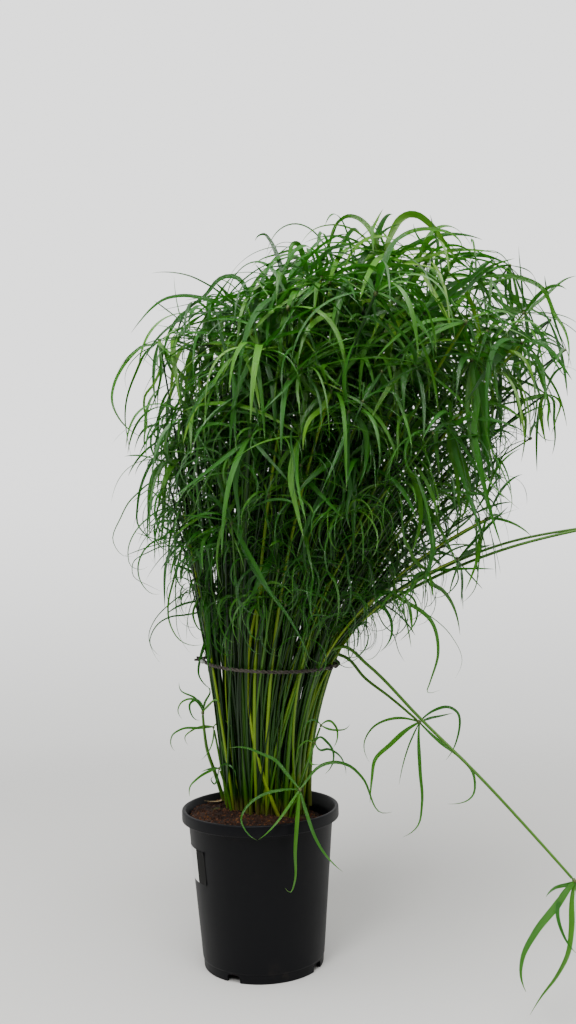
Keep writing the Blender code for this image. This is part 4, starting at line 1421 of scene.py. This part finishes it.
            (0.0060, (238, 384), (246, 392), (257, 404)),
        )),
        (-0.18, (288, 383), (
            (0.0050, (284, 387), (276, 397), (264, 410), (251, 413), (234, 411)),
        )),
        (-0.19, (348, 415), (
            (0.0065, (355, 417), (363, 426), (367, 453), (357, 489)),
            (0.0070, (347, 440), (347, 469), (350, 486), (347, 517), (351, 531)),
        )),
        (-0.18, (300, 440), (
            (0.0055, (299, 443), (287, 453), (276, 479), (277, 491)),
            (0.0080, (294, 458), (291, 477), (297, 510), (304, 539)),
        )),
        (-0.17, (250, 440), (
            (0.0080, (247, 446), (239, 463), (236, 481), (239, 517), (237, 539)),
            (0.0055, (256, 442), (266, 447), (279, 457), (287, 464)),
        )),
        (-0.18, (380, 375), (
            (0.0060, (387, 386), (401, 393), (413, 400)),
        )),
        (-0.14, (232, 526), (
            (0.0060, (240, 540), (254, 570), (268, 590), (290, 620), (312, 665)),
        )),
    ),
}


def way_to(x, y):
    """The way from the camera through a pixel of the photograph."""
    return turned @ Vector((x - MIDDLE_X, MIDDLE_Y - y, -FOCAL_PIXELS))


def seen_at(x, y, depth):
    """The place at a depth that the camera sees at a pixel of the photograph."""
    way = way_to(x, y)
    return CAMERA_PLACE + way * ((depth - CAMERA_PLACE.y) / way.y)


def shown_path(hub):
    """A stem from the clump's foot through the tie to a hub, in the same order as the others."""
    off = off_middle(hub)
    rank = min(1.0, off.length)
    foot, waist, _ = stem_through((math.atan2(off.y, off.x),) * 3, (rank * 0.9, rank, rank), 1.0)
    return foot, waist, hub


def facing_line(hub, depth, pixels, width, chance, tint):
    """A bract through pixels of the photograph, which turns its broad side to the camera more or less."""
    places = [hub]
    for k, (x, y) in enumerate(pixels):
        places.append(seen_at(x, y, hub.y + depth * (k + 1) / len(pixels)))
    path = curve_through(places, SHOWN_STEPS)
    first, more = chance.uniform(-0.5, 0.5), chance.uniform(-0.8, 0.8)
    sides = []
    for k, point in enumerate(path):
        ahead = ahead_at(path, k)
        side = ahead.cross(point - CAMERA_PLACE).normalized()
        side.rotate(Quaternion(ahead, first + more * k / len(path)))
        sides.append(side)
    return path, sides, blade_widths(len(path), width), min(1.0, max(0.0, tint))


shown_stems = []
for part, shoots in SHOWN_SHOOTS.items():
    lines = []
    for number, (depth, hub_pixel, bracts) in enumerate(shoots):
        chance = random.Random(f"shown {part} {number}")
        stem = points_along(shown_path(seen_at(*hub_pixel, depth)), STEM_STEPS)
        apex, axis = end_of(stem)
        hub = apex + axis * HUB_HEIGHT
        grow = shaded_bract if hub.z < SHADED_BELOW and not bracts else grown_bract
        reach = READ_REACH if bracts else FILLING_REACH
        count = max(FEWEST_OTHERS, SHOWN_BRACTS - len(bracts))
        others = whorl(grow, apex, axis, count, chance, reach)
        if len(bracts) + len(others) < FEWEST_BRACTS:
            continue
        shown_stems.append(stem_line(stem, chance, chance.uniform(0.6, 0.95)))
        hubs.append((apex, axis, SHOWN_BUD))
        base_tint = chance.uniform(0.15, 0.70)
        for width, *pixels in bracts:
            drift, tint = chance.uniform(-DEPTH_DRIFT, DEPTH_DRIFT), base_tint + chance.uniform(-0.2, 0.25)
            lines.append(facing_line(hub, drift, pixels, width * SHOWN_WIDER, chance, tint))
        for path, width in others:
            tint = base_tint + chance.uniform(-0.25, 0.15)
            lines.append(bract_line(path, axis, width * OTHERS_NARROWER, chance, tint))
    dress_bracts(f"shown_bracts_{part}", lines)
dress_stems("shown_stems", shown_stems)


# The stray shoots: two long stems that arch out to the right, one that droops to the lower right, a
# short one beside it, one at the clump's front and one at its left foot.
STRAY_STEMS = {
    "long_1": (
        (0.063, 0.031, 0.20), (0.098, 0.013, 0.392), (0.112, 0.011, 0.424), (0.1557, 0.012, 0.462),
        (0.2296, 0.015, 0.5035), (0.3416, 0.020, 0.547), (0.444, 0.025, 0.565), (0.545, 0.030, 0.572),
    ),
    "long_2": (
        (0.056, 0.006, 0.20), (0.095, -0.018, 0.391), (0.110, -0.020, 0.420), (0.1558, -0.020, 0.460),
        (0.2243, -0.025, 0.498), (0.3297, -0.030, 0.539), (0.4273, -0.035, 0.562), (0.530, -0.040, 0.577),
    ),
    "drooping": (
        (0.053, -0.007, 0.20), (0.082, -0.029, 0.386), (0.093, -0.036, 0.410), (0.115, -0.046, 0.419),
        (0.145, -0.057, 0.396), (0.2076, -0.085, 0.330), (0.2731, -0.130, 0.264), (0.3331, -0.175, 0.1965),
        (0.3627, -0.200, 0.1618),
    ),
    "side": (
        (0.067, 0.013, 0.20), (0.0965, 0.001, 0.385), (0.104, -0.001, 0.405), (0.119, -0.003, 0.401),
        (0.1453, -0.004, 0.372), (0.1774, -0.010, 0.3465), (0.2114, -0.020, 0.3166),
    ),
    "front": (
        (0.044, -0.020, 0.20), (0.046, -0.046, 0.216), (0.050, -0.076, 0.229), (0.0525, -0.092, 0.2435),
    ),
    "left": (
        (-0.0514, 0.040, 0.2037), (-0.0622, 0.030, 0.2445), (-0.071, 0.020, 0.2767),
        (-0.0735, 0.008, 0.3056), (-0.0743, 0.000, 0.3275),
    ),
}
STRAY_BRACTS = {
    "drooping": (
        (0.0090, -0.035, (570, 887), (557, 905), (535, 933), (522, 960), (521, 977), (526, 992)),
        (0.0055, -0.055, (558, 905), (558, 918), (567, 942), (576, 953)),
        (0.0080, -0.035, (572, 897), (571, 930), (568, 952), (557, 975), (540, 998), (530, 1015)),
        (0.0050, 0.030, (570, 884), (555, 888), (546, 897)),
        (0.0060, -0.020, (596, 894), (612, 915), (618, 945)),
        (0.0055, 0.040, (594, 890), (610, 905), (616, 935)),
        (0.0050, 0.060, (578, 893), (584, 915), (586, 945)),
    ),
    "side": (
        (0.0048, 0.030, (395, 718), (373, 727), (364, 743), (370, 763)),
        (0.0068, -0.040, (408, 729), (390, 745), (375, 760), (372, 778), (370, 803)),
        (0.0026, 0.030, (417, 727), (409, 745), (399, 785)),
        (0.0052, -0.010, (419, 727), (420, 770), (422, 803), (417, 827), (403, 837)),
        (0.0046, 0.040, (433, 711), (448, 707), (457, 712), (455, 745), (446, 760)),
        (0.0040, 0.060, (430, 718), (440, 716), (453, 713)),
        (0.0050, -0.020, (422, 725), (440, 742), (460, 757), (473, 773), (473, 795), (448, 804)),
    ),
    "front": (
        (0.0042, -0.020, (280, 790), (262, 795), (250, 803), (241, 820), (245, 830), (258, 841)),
        (0.0062, -0.028, (297, 820), (295, 850), (294, 884), (291, 892), (285, 888)),
        (0.0048, -0.026, (308, 818), (314, 835), (322, 850), (343, 872)),
        (0.0048, 0.022, (304, 784), (320, 766), (335, 762), (350, 766), (362, 777), (383, 813), (392, 812)),
        (0.0048, -0.030, (285, 812), (275, 825), (265, 835), (258, 840)),
        (0.0044, 0.012, (287, 774), (275, 760), (262, 754), (247, 748), (228, 748)),
    ),
    "left": (
        (0.0042, -0.008, (201, 704), (196, 700), (190, 704), (190, 710), (197, 720), (200, 720)),
        (0.0032, 0.008, (196, 699), (180, 689), (179, 682)),
        (0.0032, 0.016, (192, 699), (182, 702), (178, 710), (182, 719)),
        (0.0038, 0.030, (205, 702), (210, 692), (207, 686)),
        (0.0036, -0.028, (208, 706), (216, 700), (221, 706)),
    ),
}
LONG_REACH = 0.62
STRAY_STEPS = 8
STRAY_TINT = 0.6


def stray_lines(name, apex, axis, chance):
    """The bracts of a stray umbrella, through their pixels or, outside the photograph, by the rule."""
    if name in STRAY_BRACTS:
        hub = apex + axis * HUB_HEIGHT
        return [
            facing_line(hub, depth, pixels, width, chance, chance.uniform(0.25, 0.75))
            for width, depth, *pixels in STRAY_BRACTS[name]
        ]
    return [
        bract_line(path, axis, width, chance, chance.uniform(0.2, 0.7))
        for path, width in solid_bracts(name, apex, axis, LONG_REACH)
    ]


for name, points in STRAY_STEMS.items():
    chance = random.Random(f"stray {name}")
    line = stem_line(points_along(points, STRAY_STEPS), chance, 1.0, STRAY_TINT)
    dress_stems(f"stray_stem_{name}", [line], f"stem_{name}")
    apex, axis = end_of(points_along(points, 2))
    hubs.append((apex, axis, SHOWN_BUD))
    dress_bracts(f"stray_bracts_{name}", stray_lines(name, apex, axis, chance), [f"umbrella_{name}"])


# The base shoots: four short young ones at the clump's left and right foot, and one dead, straw-coloured
# bract that has fallen on the peat.
BASE_SHOOTS = (
    (0.010, (214, 730), (
        (0.0036, (200, 728), (182, 729), (172, 736), (171, 745), (175, 751)),
        (0.0030, (206, 726), (191, 731), (185, 737), (188, 745)),
        (0.0026, (212, 744), (207, 754), (201, 760)),
        (0.0030, (220, 722), (227, 722), (232, 730)),
    )),
    (0.000, (220, 771), (
        (0.0040, (210, 771), (197, 779), (190, 787), (190, 797)),
        (0.0030, (214, 768), (201, 772)),
        (0.0026, (214, 784), (211, 779), (215, 776)),
        (0.0032, (226, 764), (233, 768), (236, 778)),
    )),
    (-0.045, (320, 728), (
        (0.0034, (329, 729), (337, 730), (345, 729), (350, 724)),
        (0.0034, (330, 721), (336, 727), (337, 740), (333, 748)),
        (0.0028, (314, 720), (308, 722), (303, 730)),
    )),
    (-0.050, (314, 745), (
        (0.0036, (320, 737), (327, 742), (333, 751), (332, 765), (325, 774)),
        (0.0034, (320, 750), (328, 749), (340, 756), (345, 766), (346, 775)),
        (0.0030, (312, 764), (320, 764)),
        (0.0028, (306, 741), (300, 746), (297, 756)),
    )),
)
BASE_SLIM = 0.75
BASE_SUNK = 0.002
BASE_BEND = 0.006
DEAD_BRACT = ((225, 800), (215, 805), (204, 806))
DEAD_WIDTH = 0.0050
DEAD_LIFT = 0.0045
DEAD_ABOVE_LEVEL = 0.006


def base_path(hub):
    """A stem from the clump's edge straight up to a low hub."""
    way = Vector(((hub.x - CLUMP_CENTRE.x) / CLUMP_HALF.x, (hub.y - CLUMP_CENTRE.y) / CLUMP_HALF.y, 0.0))
    foot = CLUMP_CENTRE + way.normalized() * CLUMP_HALF
    foot.z = soil_height(foot.x, foot.y) - BASE_SUNK
    return foot, foot.lerp(hub, 0.5) + UP * BASE_BEND, hub


def on_peat(x, y, lift):
    """The place on the peat that the camera sees at a pixel of the photograph."""
    way = way_to(x, y)
    place = CAMERA_PLACE + way * ((SOIL_LEVEL + DEAD_ABOVE_LEVEL - CAMERA_PLACE.z) / way.z)
    place.z = soil_height(place.x, place.y) + lift
    return place


def finish_of_dead_bract():
    straw = Finish("dead bract")
    colour = straw.between(straw.grain(180.0), (0.36, 0.27, 0.10, 1.0), (0.16, 0.10, 0.04, 1.0))
    return straw.show(straw.surface(base_color=colour, roughness=0.7))


stems, lines = [], []
for number, (depth, hub_pixel, bracts) in enumerate(BASE_SHOOTS):
    chance = random.Random(f"base shoot {number}")
    stem = points_along(base_path(seen_at(*hub_pixel, depth)), STRAY_STEPS)
    stems.append(stem_line(stem, chance, BASE_SLIM, STRAY_TINT))
    apex, axis = end_of(stem)
    hubs.append((apex, axis, YOUNG_BUD))
    for width, *pixels in bracts:
        drift, tint = chance.uniform(-0.03, 0.03), chance.uniform(0.3, 0.8)
        lines.append(facing_line(apex + axis * HUB_HEIGHT, drift, pixels, width, chance, tint))
dress_stems("base_stems", stems)
dress_bracts("base_bracts", lines)

path = curve_through([on_peat(*pixel, DEAD_LIFT) for pixel in DEAD_BRACT], SHOWN_STEPS)
sides = sideways_along(path, (path[1] - path[0]).cross(UP).normalized())
dead = line_object("dead_bract", [(path, sides, blade_widths(len(path), DEAD_WIDTH), 0.0)])
bract_sweep.use_on(dead, {"Fold": 0.16, "Keel": -0.04, "Finish": finish_of_dead_bract()})
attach(dead, "root")


# The buds: a small brown-green knob of unopened flowers in the middle of each umbrella, where its
# bracts meet.
BUD_LONG = 0.0085
BUD_WIDE = 0.0060


def finish_of_buds():
    bud = Finish("flower buds")
    colour = bud.ramp(bud.grain(500.0, 2.0), (
        (0.30, (0.030, 0.060, 0.008, 1.0)), (0.70, (0.120, 0.150, 0.030, 1.0)),
    ))
    return bud.show(bud.surface(base_color=colour, roughness=0.6))


def bud_scatter():
    scatter = Maker("a bud at each hub", {"Finish": "Material"})
    given = scatter.given.outputs
    bud = scatter.add("GeometryNodeMeshIcoSphere", {}, {"Radius": 0.5, "Subdivisions": 1})
    turn = scatter.add("FunctionNodeAlignRotationToVector", {"axis": "Z"}, {
        "Vector": scatter.named_value("sideways", "FLOAT_VECTOR"),
    })
    size = scatter.add("ShaderNodeVectorMath", {"operation": "SCALE"}, {
        0: (BUD_WIDE, BUD_WIDE, BUD_LONG), "Scale": scatter.named_value("width"),
    })
    placed = scatter.add("GeometryNodeInstanceOnPoints", {}, {
        "Points": given["Geometry"], "Instance": bud, "Rotation": turn, "Scale": size,
    })
    placed = scatter.add("GeometryNodeSetShadeSmooth", {"domain": "FACE"}, {
        "Geometry": scatter.add("GeometryNodeRealizeInstances", {}, {0: placed}),
    })
    scatter.close(placed, given["Finish"])
    return scatter


buds = line_object("flower_buds", [
    ([apex + axis * HUB_HEIGHT * 0.8 for apex, axis, _ in hubs], [axis for _, axis, _ in hubs],
     [size for _, _, size in hubs], 0.0),
])
bud_scatter().use_on(buds, {"Finish": finish_of_buds()})
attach(buds, "root")
